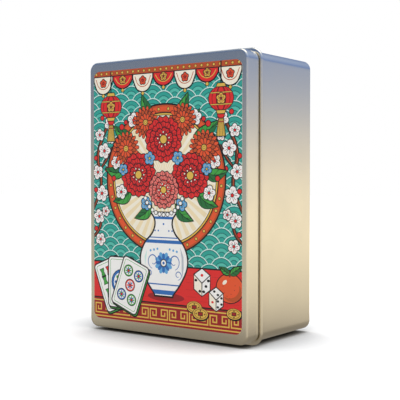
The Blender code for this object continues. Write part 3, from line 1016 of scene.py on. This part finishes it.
def inkMaterial(ink):
    if ink not in inkMaterials:
        inkMaterials[ink] = groupMaterial(
            ink + "Ink", printedInk,
            {"Color": srgb(*labelPrint["inks"][ink]), "Roughness": labelPrint["roughness"],
             "Mottle": labelPrint["mottle"]}, bump=0.05)
    return inkMaterials[ink]


def makeLabel():
    label = printedSheet("printedLabel", drawLabel, labelWide / 2 * mm, labelTall / 2 * mm,
                         labelPrint["cornerRadius"],
                         lidFront - labelPrint["thick"], (0, (labelLow.z + labelHigh.z) / 2),
                         labelPrint["thick"] + 0.03 * mm)
    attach(label, "lid")
    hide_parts("lid_label")


makeLabel()


# Contents: plastics and card

def plasticMaterial(name, color, roughness, drift=0.08):
    return groupMaterial(name, mouldedPlastic,
                         {"Color": (*color, 1), "Roughness": roughness, "Drift": drift}, bump=0.08)


# Repeats, by Geometry Nodes

def geometryTree(name, sockets):
    tree = bpy.data.node_groups.new(name, "GeometryNodeTree")
    tree.interface.new_socket("Geometry", in_out="INPUT", socket_type="NodeSocketGeometry")
    for label, kind in sockets:
        tree.interface.new_socket(label, in_out="INPUT", socket_type=kind)
    tree.interface.new_socket("Geometry", in_out="OUTPUT", socket_type="NodeSocketGeometry")
    return tree, tree.nodes.new("NodeGroupInput"), tree.nodes.new("NodeGroupOutput")


def dressed(tree, given, geometry):  # every face takes the body's finish, and the inlaid ones the inlay's
    body = addNode(tree, "GeometryNodeSetMaterial", None,
                   {"Geometry": geometry, "Material": given.outputs["Finish"]})
    marked = addNode(tree, "GeometryNodeInputNamedAttribute", {"data_type": "BOOLEAN"}, {"Name": "inlay"})
    inlaid = addNode(tree, "GeometryNodeSetMaterial", None,
                     {"Geometry": body.outputs["Geometry"], "Selection": marked.outputs["Attribute"],
                      "Material": given.outputs["Inlay"]})
    return inlaid.outputs["Geometry"]


def buildStackTree():  # copies of one flat thing, laid behind each other and a little out of true
    tree, given, out = geometryTree("laidInStack", [
        ("Count", "NodeSocketInt"), ("Pitch", "NodeSocketFloat"), ("Slide", "NodeSocketFloat"),
        ("Turn", "NodeSocketFloat"), ("Seed", "NodeSocketInt"), ("Finish", "NodeSocketMaterial"),
        ("Inlay", "NodeSocketMaterial")])
    step = addNode(tree, "ShaderNodeCombineXYZ", None, {"Y": given.outputs["Pitch"]})
    line = addNode(tree, "GeometryNodeMeshLine", None,
                   {"Count": given.outputs["Count"], "Offset": step.outputs[0]})
    back = maths(tree, "MULTIPLY", given.outputs["Slide"], -1.0)
    unturned = maths(tree, "MULTIPLY", given.outputs["Turn"], -1.0)
    spread = addNode(tree, "FunctionNodeRandomValue", {"data_type": "FLOAT_VECTOR"},
                     {"Seed": given.outputs["Seed"]})
    twist = addNode(tree, "FunctionNodeRandomValue", {"data_type": "FLOAT_VECTOR"},
                    {"Seed": maths(tree, "ADD", given.outputs["Seed"], 7.0)})
    for made, low, high in ((spread, back, given.outputs["Slide"]),
                            (twist, unturned, given.outputs["Turn"])):
        for index, value in ((0, low), (1, high)):
            turned = made is twist
            sides = {"Y": value} if turned else {"X": value, "Z": value}
            feed(tree, made.inputs[index], addNode(tree, "ShaderNodeCombineXYZ", None, sides).outputs[0])
    laid = addNode(tree, "GeometryNodeInstanceOnPoints", None,
                   {"Points": line.outputs["Mesh"], "Instance": given.outputs["Geometry"],
                    "Rotation": twist.outputs[0]})
    moved = addNode(tree, "GeometryNodeTranslateInstances", None,
                    {"Instances": laid.outputs["Instances"], "Translation": spread.outputs[0],
                     "Local Space": False})
    real = addNode(tree, "GeometryNodeRealizeInstances", None, {"Geometry": moved.outputs["Instances"]})
    tree.links.new(dressed(tree, given, real.outputs["Geometry"]), out.inputs["Geometry"])
    return tree


def buildRingTree():  # copies of one rib round a disc's edge
    tree, given, out = geometryTree("setRoundEdge", [
        ("Count", "NodeSocketInt"), ("Radius", "NodeSocketFloat"), ("Finish", "NodeSocketMaterial"),
        ("Inlay", "NodeSocketMaterial")])
    count = given.outputs["Count"]
    line = addNode(tree, "GeometryNodeMeshLine", None, {"Count": count, "Offset": (0, 0, 0)})
    index = addNode(tree, "GeometryNodeInputIndex").outputs[0]
    angle = maths(tree, "MULTIPLY", maths(tree, "DIVIDE", index, count), 2 * math.pi)
    turn = addNode(tree, "ShaderNodeCombineXYZ", None, {"Y": angle})
    outwards = addNode(tree, "ShaderNodeCombineXYZ", None, {"X": given.outputs["Radius"]})
    laid = addNode(tree, "GeometryNodeInstanceOnPoints", None,
                   {"Points": line.outputs["Mesh"], "Instance": given.outputs["Geometry"],
                    "Rotation": turn.outputs[0]})
    moved = addNode(tree, "GeometryNodeTranslateInstances", None,
                    {"Instances": laid.outputs["Instances"], "Translation": outwards.outputs[0],
                     "Local Space": True})
    real = addNode(tree, "GeometryNodeRealizeInstances", None, {"Geometry": moved.outputs["Instances"]})
    tree.links.new(dressed(tree, given, real.outputs["Geometry"]), out.inputs["Geometry"])
    return tree


stackTree = buildStackTree()
ringTree = buildRingTree()


# runs a tree on a mesh and keeps its result as a plain mesh
def grownBy(name, mesh, tree, values, place=(0, 0, 0)):
    piece = addObject(name, mesh)
    live = piece.modifiers.new("growth", "NODES")
    live.node_group = tree
    for socket in tree.interface.items_tree:
        if socket.in_out == "INPUT" and socket.name in values:
            live[socket.identifier] = values[socket.name]
    bpy.context.view_layer.update()
    evaluated = piece.evaluated_get(bpy.context.evaluated_depsgraph_get())
    result = bpy.data.meshes.new_from_object(evaluated)
    piece.modifiers.clear()
    result.transform(Matrix.Translation(place))
    piece.data = result
    return piece


# a rounded sheet facing the front, its front at the origin
def flatSheet(halfWide, halfTall, radius, thick, steps=5):
    work = bmesh.new()
    outline = roundedBox(halfWide, halfTall, radius, steps)
    near = [work.verts.new((x, 0, z)) for x, z in outline]
    far = [work.verts.new((x, thick, z)) for x, z in outline]
    for index in range(len(outline)):
        after = (index + 1) % len(outline)
        work.faces.new((near[index], near[after], far[after], far[index]))
    work.faces.new(near)
    work.faces.new(far[::-1])
    return meshFrom("flatSheet", work)


# a disc turned round the front-to-back axis, from (radius, depth) pairs
def turned(profile, segments, inlaid=None):
    work = bmesh.new()
    marks = work.faces.layers.bool.new("inlay")
    rings = []
    for radius, depth in profile:
        rings.append([work.verts.new((radius * math.cos(2 * math.pi * step / segments), depth,
                                      radius * math.sin(2 * math.pi * step / segments)))
                      for step in range(segments)])
    for ring, (near, far) in enumerate(zip(rings, rings[1:])):
        for step in range(segments):
            after = (step + 1) % segments
            face = work.faces.new((near[step], near[after], far[after], far[step]))
            face[marks] = bool(inlaid and inlaid(ring, step))
    for ring in (rings[0], rings[-1]):
        work.faces.new(ring)[marks] = bool(inlaid and inlaid(-1, 0) and ring is rings[0])
    return meshFrom("turnedDisc", work)


# Cards

cards = {
    "counts": {"cards_bamboo": 36, "cards_dots": 36, "cards_characters": 36, "cards_winds": 16,
               "cards_dragons": 12,
               "cards_flowers": 8},
    "cornerRadius": 3 * mm,
    "gap": 0.05 * mm,
    "slide": 0.16 * mm,
    "turn": 0.0022,
    "inkThick": 0.02 * mm,
    "color": (0.90, 0.87, 0.79),
    "fronts": ("cards_dots", "cards_flowers"),
}


def cardFrame():
    paint([(-46, -30), (46, -30), (46, 30), (-46, 30)], "white")
    penLine(roundedBox(41.2, 25.7, 2.0), 0.5, "green", closed=True)
    penLine(roundedBox(39.9, 24.4, 1.4), 0.25, "green", closed=True)


def drawDotsCard():
    cardFrame()
    for x, z, ink, shade in ((-24, 13.5, "green", "blue"), (-24, -13.5, "blue", "green"),
                             (24, 13.5, "blue", "green"),
                             (24, -13.5, "green", "blue"), (0, 0, "red", "blue")):
        rosette(x, z, 8.2, ink, shade)


def drawFlowersCard():
    cardFrame()
    branch([(-34, -19), (-18, -10), (-4, -8), (12, 3), (30, 9)], 2.0)
    branch([(-6, -8), (2, -15), (13, -17)], 1.3)
    for x, z, turn in ((-24, -2, 60), (20, -8, 0), (-6, 6, 20)):
        leaf(x, z, 12, 5, turn)
    peony(4, 4, 13, 10, "red", "redDark")
    for x, z, radius in ((-20, -9, 6.0), (24, 9, 6.4), (14, -17, 5.0), (-33, -17, 4.6)):
        blossom(x, z, radius, 3 * x, "pink", "red")


def makeCards():
    stock = groupMaterial("coatedCard", cardStock,
                          {"Color": (*cards["color"], 1), "Roughness": 0.5, "Fibre": 0.10}, bump=0.08)
    for index, (node, count) in enumerate(cards["counts"].items()):
        low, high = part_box(node)
        halfX, halfZ = (high.x - low.x) / 2 - cards["slide"], (high.z - low.z) / 2 - cards["slide"]
        pitch = (high.y - low.y) / count
        one = flatSheet(halfX, halfZ, cards["cornerRadius"], pitch - cards["gap"])
        middle = ((low.x + high.x) / 2, low.y + cards["inkThick"], (low.z + high.z) / 2)
        suit = node.removeprefix("cards_")
        deck = grownBy("deckOf" + suit, one, stackTree,
                       {"Count": count, "Pitch": pitch, "Slide": cards["slide"], "Turn": cards["turn"],
                        "Seed": 20 + index,
                        "Finish": stock, "Inlay": stock}, middle)
        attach(deck, node)
        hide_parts(node)
        if node in cards["fronts"]:
            face = printedSheet(suit + "Front", drawDotsCard if "dots" in node else drawFlowersCard,
                                halfX - 0.3 * mm, halfZ - 0.3 * mm, cards["cornerRadius"], low.y,
                                (middle[0], middle[2]),
                                cards["inkThick"] * 1.5)
            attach(face, node)


makeCards()
print("cards laid in")


# Score chips

chips = {
    "radius": 19.5 * mm,
    "thick": 3.2 * mm,
    "segments": 48,
    "perStack": 10,
    "inlayColor": (0.88, 0.84, 0.74),
    "colors": {"red": (0.58, 0.035, 0.045), "green": (0.03, 0.30, 0.12), "blue": (0.025, 0.12, 0.42),
               "white": (0.80, 0.78, 0.72)},
    "whiteInlay": (0.06, 0.06, 0.065),
}


def chipProfile(radius, thick):
    edge = 0.45 * mm
    return [(9.6 * mm, 0.35 * mm), (10.2 * mm, 0.35 * mm), (10.4 * mm, 0.12 * mm), (11.6 * mm, 0.0),
            (12.2 * mm, 0.22 * mm),
            (12.8 * mm, 0.22 * mm), (13.4 * mm, 0.0), (radius - edge, 0.0),
            (radius - edge * 0.3, edge * 0.3), (radius, edge),
            (radius, thick - edge), (radius - edge * 0.3, thick - edge * 0.3), (radius - edge, thick)]


def drawChipFace():
    paint(around((0, 0), 12, 40), "cream")
    penLine(around((0, 0), 8.6, 40), 0.4, "gold", closed=True)
    peony(0, 0, 6.6, 10, "red", "redDark")


def makeChips():
    plain = plasticMaterial("chipInlay", chips["inlayColor"], 0.42)
    dark = plasticMaterial("chipDarkInlay", chips["whiteInlay"], 0.42)
    profile = chipProfile(chips["radius"], chips["thick"])

    def inlaid(ring, step):  # eight edge spots, over the outer field and the rim
        return ring == -1 or ring in (0, 1) or (ring >= 6 and step % 6 < 2)

    for index, (name, color) in enumerate(chips["colors"].items()):
        nodes = [f"{name}_chip_{number:02d}" for number in range(1, chips["perStack"] + 1)]
        low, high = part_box(nodes[0])
        pitch = (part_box(nodes[-1])[0].y - low.y) / (chips["perStack"] - 1)
        body = plasticMaterial(name + "Chip", color, 0.40)
        middle = Vector(((low.x + high.x) / 2, low.y, (low.z + high.z) / 2))
        stack = grownBy(name + "ChipStack", turned(profile, chips["segments"], inlaid), stackTree,
                        {"Count": chips["perStack"], "Pitch": pitch, "Slide": 0.05 * mm, "Turn": math.pi,
                         "Seed": 40 + index,
                         "Finish": body, "Inlay": dark if name == "white" else plain}, middle)
        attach(stack, name + "_chips")
        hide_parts(*nodes)
        face = printedSheet(name + "ChipFace", drawChipFace, 9.5 * mm, 9.5 * mm, 9.49 * mm,
                            low.y + 0.31 * mm, (middle.x, middle.z),
                            0.06 * mm)
        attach(face, name + "_chips")


makeChips()
print("chips stacked")


# Dealer button

dealerButton = {
    "radius": 14.6 * mm,
    "thick": 6 * mm,
    "segments": 64,
    "ribs": 60,
    "ribRadius": 0.38 * mm,
    "color": (0.86, 0.84, 0.78),
}


def drawButtonFace():
    paint(around((0, 0), 14, 48), "red")
    penLine(around((0, 0), 10.4, 48), 0.5, "gold", closed=True)
    for turn in range(0, 360, 45):
        paint(placed(petalShape(7.4, 4.4), (1.8 * math.cos(math.radians(turn)),
                                            1.8 * math.sin(math.radians(turn))), turn), "gold")
        paint(placed(petalShape(5.6, 2.8), (2.2 * math.cos(math.radians(turn)),
                                            2.2 * math.sin(math.radians(turn))), turn), "redDark")
    dot(0, 0, 1.6, "gold", 0.4)


def makeDealerButton():
    low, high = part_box("dealer_button")
    middle = Vector(((low.x + high.x) / 2, low.y, (low.z + high.z) / 2))
    radius, thick = dealerButton["radius"], dealerButton["thick"]
    profile = [(11.2 * mm, 0.5 * mm), (11.8 * mm, 0.4 * mm), (12.2 * mm, 0.08 * mm), (12.7 * mm, 0.0),
               (radius - 0.9 * mm, 0.0),
               (radius - 0.35 * mm, 0.18 * mm), (radius - 0.08 * mm, 0.5 * mm), (radius, 1.0 * mm),
               (radius, thick - 1.0 * mm),
               (radius - 0.08 * mm, thick - 0.5 * mm), (radius - 0.35 * mm, thick - 0.18 * mm),
               (radius - 0.9 * mm, thick)]
    ivory = plasticMaterial("ivoryPlastic", dealerButton["color"], 0.30)
    body = addObject("dealerButton", turned(profile, dealerButton["segments"]), ivory)
    body.data.transform(Matrix.Translation(middle))
    rib = bmesh.new()
    bmesh.ops.create_cone(rib, cap_ends=True, segments=8, radius1=dealerButton["ribRadius"],
                          radius2=dealerButton["ribRadius"],
                          depth=thick - 1.9 * mm, matrix=Matrix.Rotation(math.pi / 2, 4, "X"))
    ribs = grownBy("dealerButtonRibs", meshFrom("buttonRib", rib), ringTree,
                   {"Count": dealerButton["ribs"], "Radius": radius, "Finish": ivory, "Inlay": ivory},
                   middle + Vector((0, thick / 2, 0)))
    face = printedSheet("dealerButtonFace", drawButtonFace, 11.2 * mm, 11.2 * mm, 11.19 * mm,
                        middle.y + 0.44 * mm,
                        (middle.x, middle.z), 0.08 * mm)
    for piece in (body, ribs, face):
        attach(piece, "dealer_button")
    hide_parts("dealer_button")


makeDealerButton()
print("button turned")


# Dice

dice = {
    "round": 1.5 * mm,
    "pipRadius": 1.25 * mm,
    "pipSink": 0.45 * mm,
    "onePip": 1.9,  # the single pip's size against the others
    "onePipSink": 1.3,
    "spread": 3.6 * mm,
    "color": (0.88, 0.86, 0.80),
    "pipColors": {"Black": (0.02, 0.02, 0.022), "Red": (0.55, 0.02, 0.03)},
    "turns": {"die_1": (0, 0, 0), "die_2": (90, 0, 90), "die_3": (0, 90, 90)},
}


def pipPlaces(value):  # counted in spreads from the middle of a face
    corners = [(-1, -1), (1, 1), (-1, 1), (1, -1)]
    return {1: [(0, 0)], 2: corners[:2], 3: [(-1, -1), (0, 0), (1, 1)], 4: corners,
            5: corners + [(0, 0)], 6: corners + [(-1, 0), (1, 0)]}[value]


def makeDice():
    body = plasticMaterial("diePlastic", dice["color"], 0.20, 0.04)
    pipInks = [plasticMaterial("diePip" + name, color, 0.35) for name, color in dice["pipColors"].items()]
    for node, turns in dice["turns"].items():
        low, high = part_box(node)
        half = (high.x - low.x) / 2
        work = bmesh.new()
        bmesh.ops.create_cube(work, size=2 * half)
        bmesh.ops.bevel(work, geom=list(work.edges) + list(work.verts), offset=dice["round"], segments=5,
                        profile=0.5,
                        affect="EDGES")
        block = addObject(node.replace("_", "") + "Block", meshFrom("dieBlock", work), body, *pipInks)
        cutting = bmesh.new()
        for value, toward in ((1, (0, -1, 0)), (6, (0, 1, 0)), (2, (1, 0, 0)), (5, (-1, 0, 0)),
                              (3, (0, 0, 1)), (4, (0, 0, -1))):
            facing = Vector(toward).to_track_quat("Z", "Y").to_matrix().to_4x4()
            radius = dice["pipRadius"] * (dice["onePip"] if value == 1 else 1)
            for u, v in pipPlaces(value):
                place = facing @ Matrix.Translation((u * dice["spread"], v * dice["spread"],
                                                     half + radius - dice["pipSink"] * (dice["onePipSink"]
                                                                                        if value == 1
                                                                                        else 1)))
                made = bmesh.ops.create_uvsphere(cutting, u_segments=20, v_segments=14, radius=radius,
                                                 matrix=place)
                for face in {face for vert in made["verts"] for face in vert.link_faces}:
                    face.material_index = 2 if value == 1 else 1
        cutter = addObject("dieCutter", meshFrom("dieCutter", cutting), body, *pipInks)
        cut = block.modifiers.new("pips", "BOOLEAN")
        cut.object = cutter
        cut.solver = "EXACT"
        bpy.context.view_layer.update()
        result = bpy.data.meshes.new_from_object(block.evaluated_get(bpy.context.evaluated_depsgraph_get()))
        block.modifiers.clear()
        bpy.data.objects.remove(cutter)
        spin = Matrix.LocRotScale((low + high) / 2, None, None)
        for axis, degrees in zip("XYZ", turns):
            spin = spin @ Matrix.Rotation(math.radians(degrees), 4, axis)
        result.transform(spin)
        block.data = result
        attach(block, node)
        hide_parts(node)


makeDice()
print("dice cut")


# Rule booklet

ruleBooklet = {
    "pages": 9,
    "pageInset": (0.45 * mm, 0.35 * mm),
    "pageShare": 0.8,  # of the room that each page has
    "coverThick": 0.16 * mm,
    "cornerRadius": 1.5 * mm,
    "paperColor": (0.86, 0.84, 0.78),
    "stapleLong": 12 * mm,
    "stapleWire": 0.3 * mm,
}


def drawCover():
    paint([(-55, -75), (55, -75), (55, 75), (-55, 75)], "teal")
    scallops(9.0, lambda x, z: abs(z) < 26 and abs(x) < 30)
    for halfX, halfZ, ink in ((43.5, 65.0, "cream"), (42.9, 64.4, "redDark"), (42.0, 63.5, "cream")):
        penLine(roundedBox(halfX, halfZ, 3), 0.6, ink, closed=True)
    for radius, ink in ((31, "black"), (30.2, "orange"), (27.6, "black"), (27, "gold"), (26, "black"),
                        (25.5, "cream")):
        paint(around((0, 4), radius, 72), ink)
    for turn in range(0, 360, 60):
        leaf(0, 4, 22, 8, turn + 30)
    peony(0, 4, 15.5, 0, "red", "redDark")
    for turn in range(0, 360, 60):
        spot = around((0, 4), 19.5, 1, turn, turn + 1)[0]
        blossom(spot[0], spot[1], 4.6, turn)


def makeBooklet():
    low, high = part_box("rule_booklet")
    halfX, halfZ = (high.x - low.x) / 2, (high.z - low.z) / 2
    middle = Vector(((low.x + high.x) / 2, low.y, (low.z + high.z) / 2))
    cover = printedSheet("bookletCover", drawCover, halfX, halfZ, ruleBooklet["cornerRadius"], low.y,
                         (middle.x, middle.z),
                         ruleBooklet["coverThick"])
    paper = groupMaterial("bookPaper", cardStock,
                          {"Color": (*ruleBooklet["paperColor"], 1), "Roughness": 0.7, "Fibre": 0.14},
                          bump=0.1)
    depth = high.y - low.y - ruleBooklet["coverThick"]
    pitch = depth / ruleBooklet["pages"]
    insetX, insetZ = ruleBooklet["pageInset"]
    sheet = flatSheet(halfX - insetX, halfZ - insetZ, ruleBooklet["cornerRadius"],
                      pitch * ruleBooklet["pageShare"], 3)
    pages = grownBy("bookletPages", sheet,
                    stackTree, {"Count": ruleBooklet["pages"], "Pitch": pitch, "Slide": 0.18 * mm,
                                "Turn": 0.0006, "Seed": 61,
                                "Finish": paper, "Inlay": paper},
                    middle + Vector((0, ruleBooklet["coverThick"] + pitch * 0.1, 0)))
    wire = bmesh.new()
    for side in (-1, 1):
        spot = middle + Vector((-halfX + 1.1 * mm, 0.02 * mm, side * halfZ * 0.55))
        bmesh.ops.create_cone(wire, cap_ends=True, segments=10, radius1=ruleBooklet["stapleWire"],
                              radius2=ruleBooklet["stapleWire"],
                              depth=ruleBooklet["stapleLong"], matrix=Matrix.Translation(spot))
    staples = addObject("bookletStaples", meshFrom("bookletStaples", wire), tinplateMaterial)
    for piece in (cover, pages, staples):
        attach(piece, "booklet")
    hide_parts("rule_booklet")


makeBooklet()
print("booklet stapled")


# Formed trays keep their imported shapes

trays = {"color": (0.50, 0.018, 0.022), "roughness": 0.34}


def dressTrays():
    finish = plasticMaterial("formedTray", trays["color"], trays["roughness"], 0.14)
    for node in ("card_tray", "chip_tray"):
        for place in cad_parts[node].material_slots:
            place.material = finish


dressTrays()
print("trays finished")


# Studio

studio = {
    "floorSize": 6.0,
    "floorColor": (0.86, 0.86, 0.86, 1.0),
    "paper": (1.0, 0.35),
    # painted shade: an ambient occlusion node darkens the floor's colour near the tin
    "shadeReach": 60 * mm,  # contact shade on the floor
    "shadeDepth": 0.95,
    "plainLight": 0.78,
    "lampPlace": (0.1, 0.1, 1.3),
    "lampSize": 1.1,
    "lampPower": 7.0,
    "cameraPlace": (294.8 * mm, -371.1 * mm, 85.6 * mm),  # from the lid's lower front edge, midway across
    "cameraPitch": 1.307,
    "cameraYaw": 36.1,
    "lens": 79.4,
    "shiftUp": -0.00865,
    # what polished metal sees: the sine of a height above the horizon, and the colour there
    "skyStops": [(-0.20, (1.12, 1.04, 0.88)), (-0.02, (1.20, 1.11, 0.92)), (0.03, (0.86, 0.83, 0.82)),
                 (0.10, (0.34, 0.44, 0.72)), (0.22, (0.18, 0.30, 0.70)), (0.60, (0.48, 0.62, 1.00)),
                 (1.00, (0.86, 0.93, 1.06))],
    # and the floor's, by the distance from the tin's middle: painted shade, darker near the tin
    "floorShadeStops": [(0.06, (0.36, 0.32, 0.27)), (0.10, (0.74, 0.66, 0.55)), (0.20, (1.00, 0.90, 0.74)),
                   (0.60, (1.16, 1.06, 0.87)), (1.60, (1.20, 1.11, 0.92))],
    # on the world this darker side is light; on the floor that the metal sees it is painted shade
    "frontLeftShade": (0.44, 0.50, 0.57, 1.0),  # the darker side of the room, which the front faces
}


def colorRamp(tree, value, stops):
    ramp = addNode(tree, "ShaderNodeValToRGB")
    low, high = stops[0][0], stops[-1][0]
    place = addNode(tree, "ShaderNodeMapRange", None, {"Value": value, "From Min": low, "From Max": high})
    tree.links.new(place.outputs["Result"], ramp.inputs["Fac"])
    elements = ramp.color_ramp.elements
    while len(elements) > 1:
        elements.remove(elements[-1])
    elements[0].position, elements[0].color = 0.0, (*stops[0][1], 1)
    for position, color in stops[1:]:
        elements.new((position - low) / (high - low)).color = (*color, 1)
    return ramp.outputs["Color"]


def darkerToFrontLeft(tree, across, color):
    shade = mixColors(tree, remap(tree, across, -0.6, 0.6, 0.0, 1.0), studio["frontLeftShade"],
                      (1, 1, 1, 1))
    return mixColors(tree, 1.0, color, shade, "MULTIPLY")


def mixShaders(tree, factor, first, second):
    made = addNode(tree, "ShaderNodeMixShader", None, {"Fac": factor})
    tree.links.new(first, made.inputs[1])
    tree.links.new(second, made.inputs[2])
    return made.outputs[0]


def makeWorld():
    world = bpy.data.worlds.new("studioWorld")
    world.use_nodes = True
    scene.world = world
    tree = world.node_tree
    tree.nodes.clear()
    out = tree.nodes.new("ShaderNodeOutputWorld")
    split = addNode(tree, "ShaderNodeSeparateXYZ", None,
                    {"Vector": addNode(tree, "ShaderNodeTexCoord").outputs["Generated"]})
    seen = darkerToFrontLeft(tree, split.outputs["X"],
                             colorRamp(tree, split.outputs["Z"], studio["skyStops"]))
    light = tree.nodes.new("ShaderNodeLightPath")
    plain, reflected, white = [
        addNode(tree, "ShaderNodeBackground", None,
                {"Color": color, "Strength": strength}).outputs["Background"]
        for color, strength in (((1, 1, 1, 1), studio["plainLight"]), (seen, 1.0), ((1, 1, 1, 1), 1.0))]
    shown = mixShaders(tree, light.outputs["Is Glossy Ray"], plain, reflected)
    tree.links.new(mixShaders(tree, light.outputs["Is Camera Ray"], shown, white), out.inputs["Surface"])


def makeFloor():
    mesh = bpy.data.meshes.new("studioFloor")
    half = studio["floorSize"] / 2
    mesh.from_pydata([(-half, -half, 0), (half, -half, 0), (half, half, 0), (-half, half, 0)], [],
                     [(0, 1, 2, 3)])
    floor = addObject("studioFloor", mesh)
    material = bpy.data.materials.new("paleFloor")
    material.use_nodes = True
    tree = material.node_tree
    tree.nodes.clear()
    out = tree.nodes.new("ShaderNodeOutputMaterial")
    place = addNode(tree, "ShaderNodeTexCoord").outputs["Object"]
    split = addNode(tree, "ShaderNodeSeparateXYZ", None, {"Vector": place})
    distance = addNode(tree, "ShaderNodeVectorMath", {"operation": "LENGTH"}, {0: place}).outputs["Value"]
    # painted shade and painted reflection: for glossy rays the floor glows, darker near the tin and towards
    # the front left
    seen = darkerToFrontLeft(tree, split.outputs["X"], colorRamp(tree, distance, studio["floorShadeStops"]))
    reflected = addNode(tree, "ShaderNodeEmission", None, {"Color": seen}).outputs["Emission"]
    matte = addNode(tree, "ShaderNodeBsdfDiffuse", None, {"Color": studio["floorColor"]}).outputs["BSDF"]
    # painted contact shade, on top of the shadow that the lamps cast
    closed = addNode(tree, "ShaderNodeAmbientOcclusion", {"samples": 8},
                     {"Distance": studio["shadeReach"]}).outputs["AO"]
    shade = maths(tree, "POWER", closed, studio["shadeDepth"])
    white, extra = [
        addNode(tree, "ShaderNodeBsdfDiffuse", None,
                {"Color": grey(tree, maths(tree, "MULTIPLY", shade, share))}).outputs["BSDF"]
        for share in studio["paper"]]
    bright = addNode(tree, "ShaderNodeAddShader", None)
    tree.links.new(white, bright.inputs[0])
    tree.links.new(extra, bright.inputs[1])  # the eye sees white paper; only the shadow falls below it
    light = tree.nodes.new("ShaderNodeLightPath")
    shown = mixShaders(tree, light.outputs["Is Glossy Ray"], matte, reflected)
    tree.links.new(mixShaders(tree, light.outputs["Is Camera Ray"], shown, bright.outputs[0]),
                   out.inputs["Surface"])
    mesh.materials.append(material)


def makeLamp():  # overhead, aimed at where the tin stands
    lamp = bpy.data.lights.new("overheadLamp", "AREA")
    lamp.shape = "SQUARE"
    lamp.size = studio["lampSize"]
    lamp.energy = studio["lampPower"]
    holder = addObject("overheadLamp", lamp)
    holder.location = studio["lampPlace"]
    holder.rotation_euler = (-Vector(studio["lampPlace"])).to_track_quat("-Z", "Y").to_euler()


def makeCamera():
    camera = bpy.data.cameras.new("photoCamera")
    camera.lens = studio["lens"]
    camera.sensor_width = 36
    camera.shift_y = studio["shiftUp"]
    camera.clip_start = 0.01
    holder = addObject("photoCamera", camera)
    across, along, up = studio["cameraPlace"]
    holder.location = (across, lidFront + along, lidLow.z + up)
    holder.rotation_euler = (math.radians(90 - studio["cameraPitch"]), 0, math.radians(studio["cameraYaw"]))
    scene.camera = holder


makeWorld()
makeFloor()
makeLamp()
makeCamera()
scene.view_settings.view_transform = "Standard"
print("studio set")
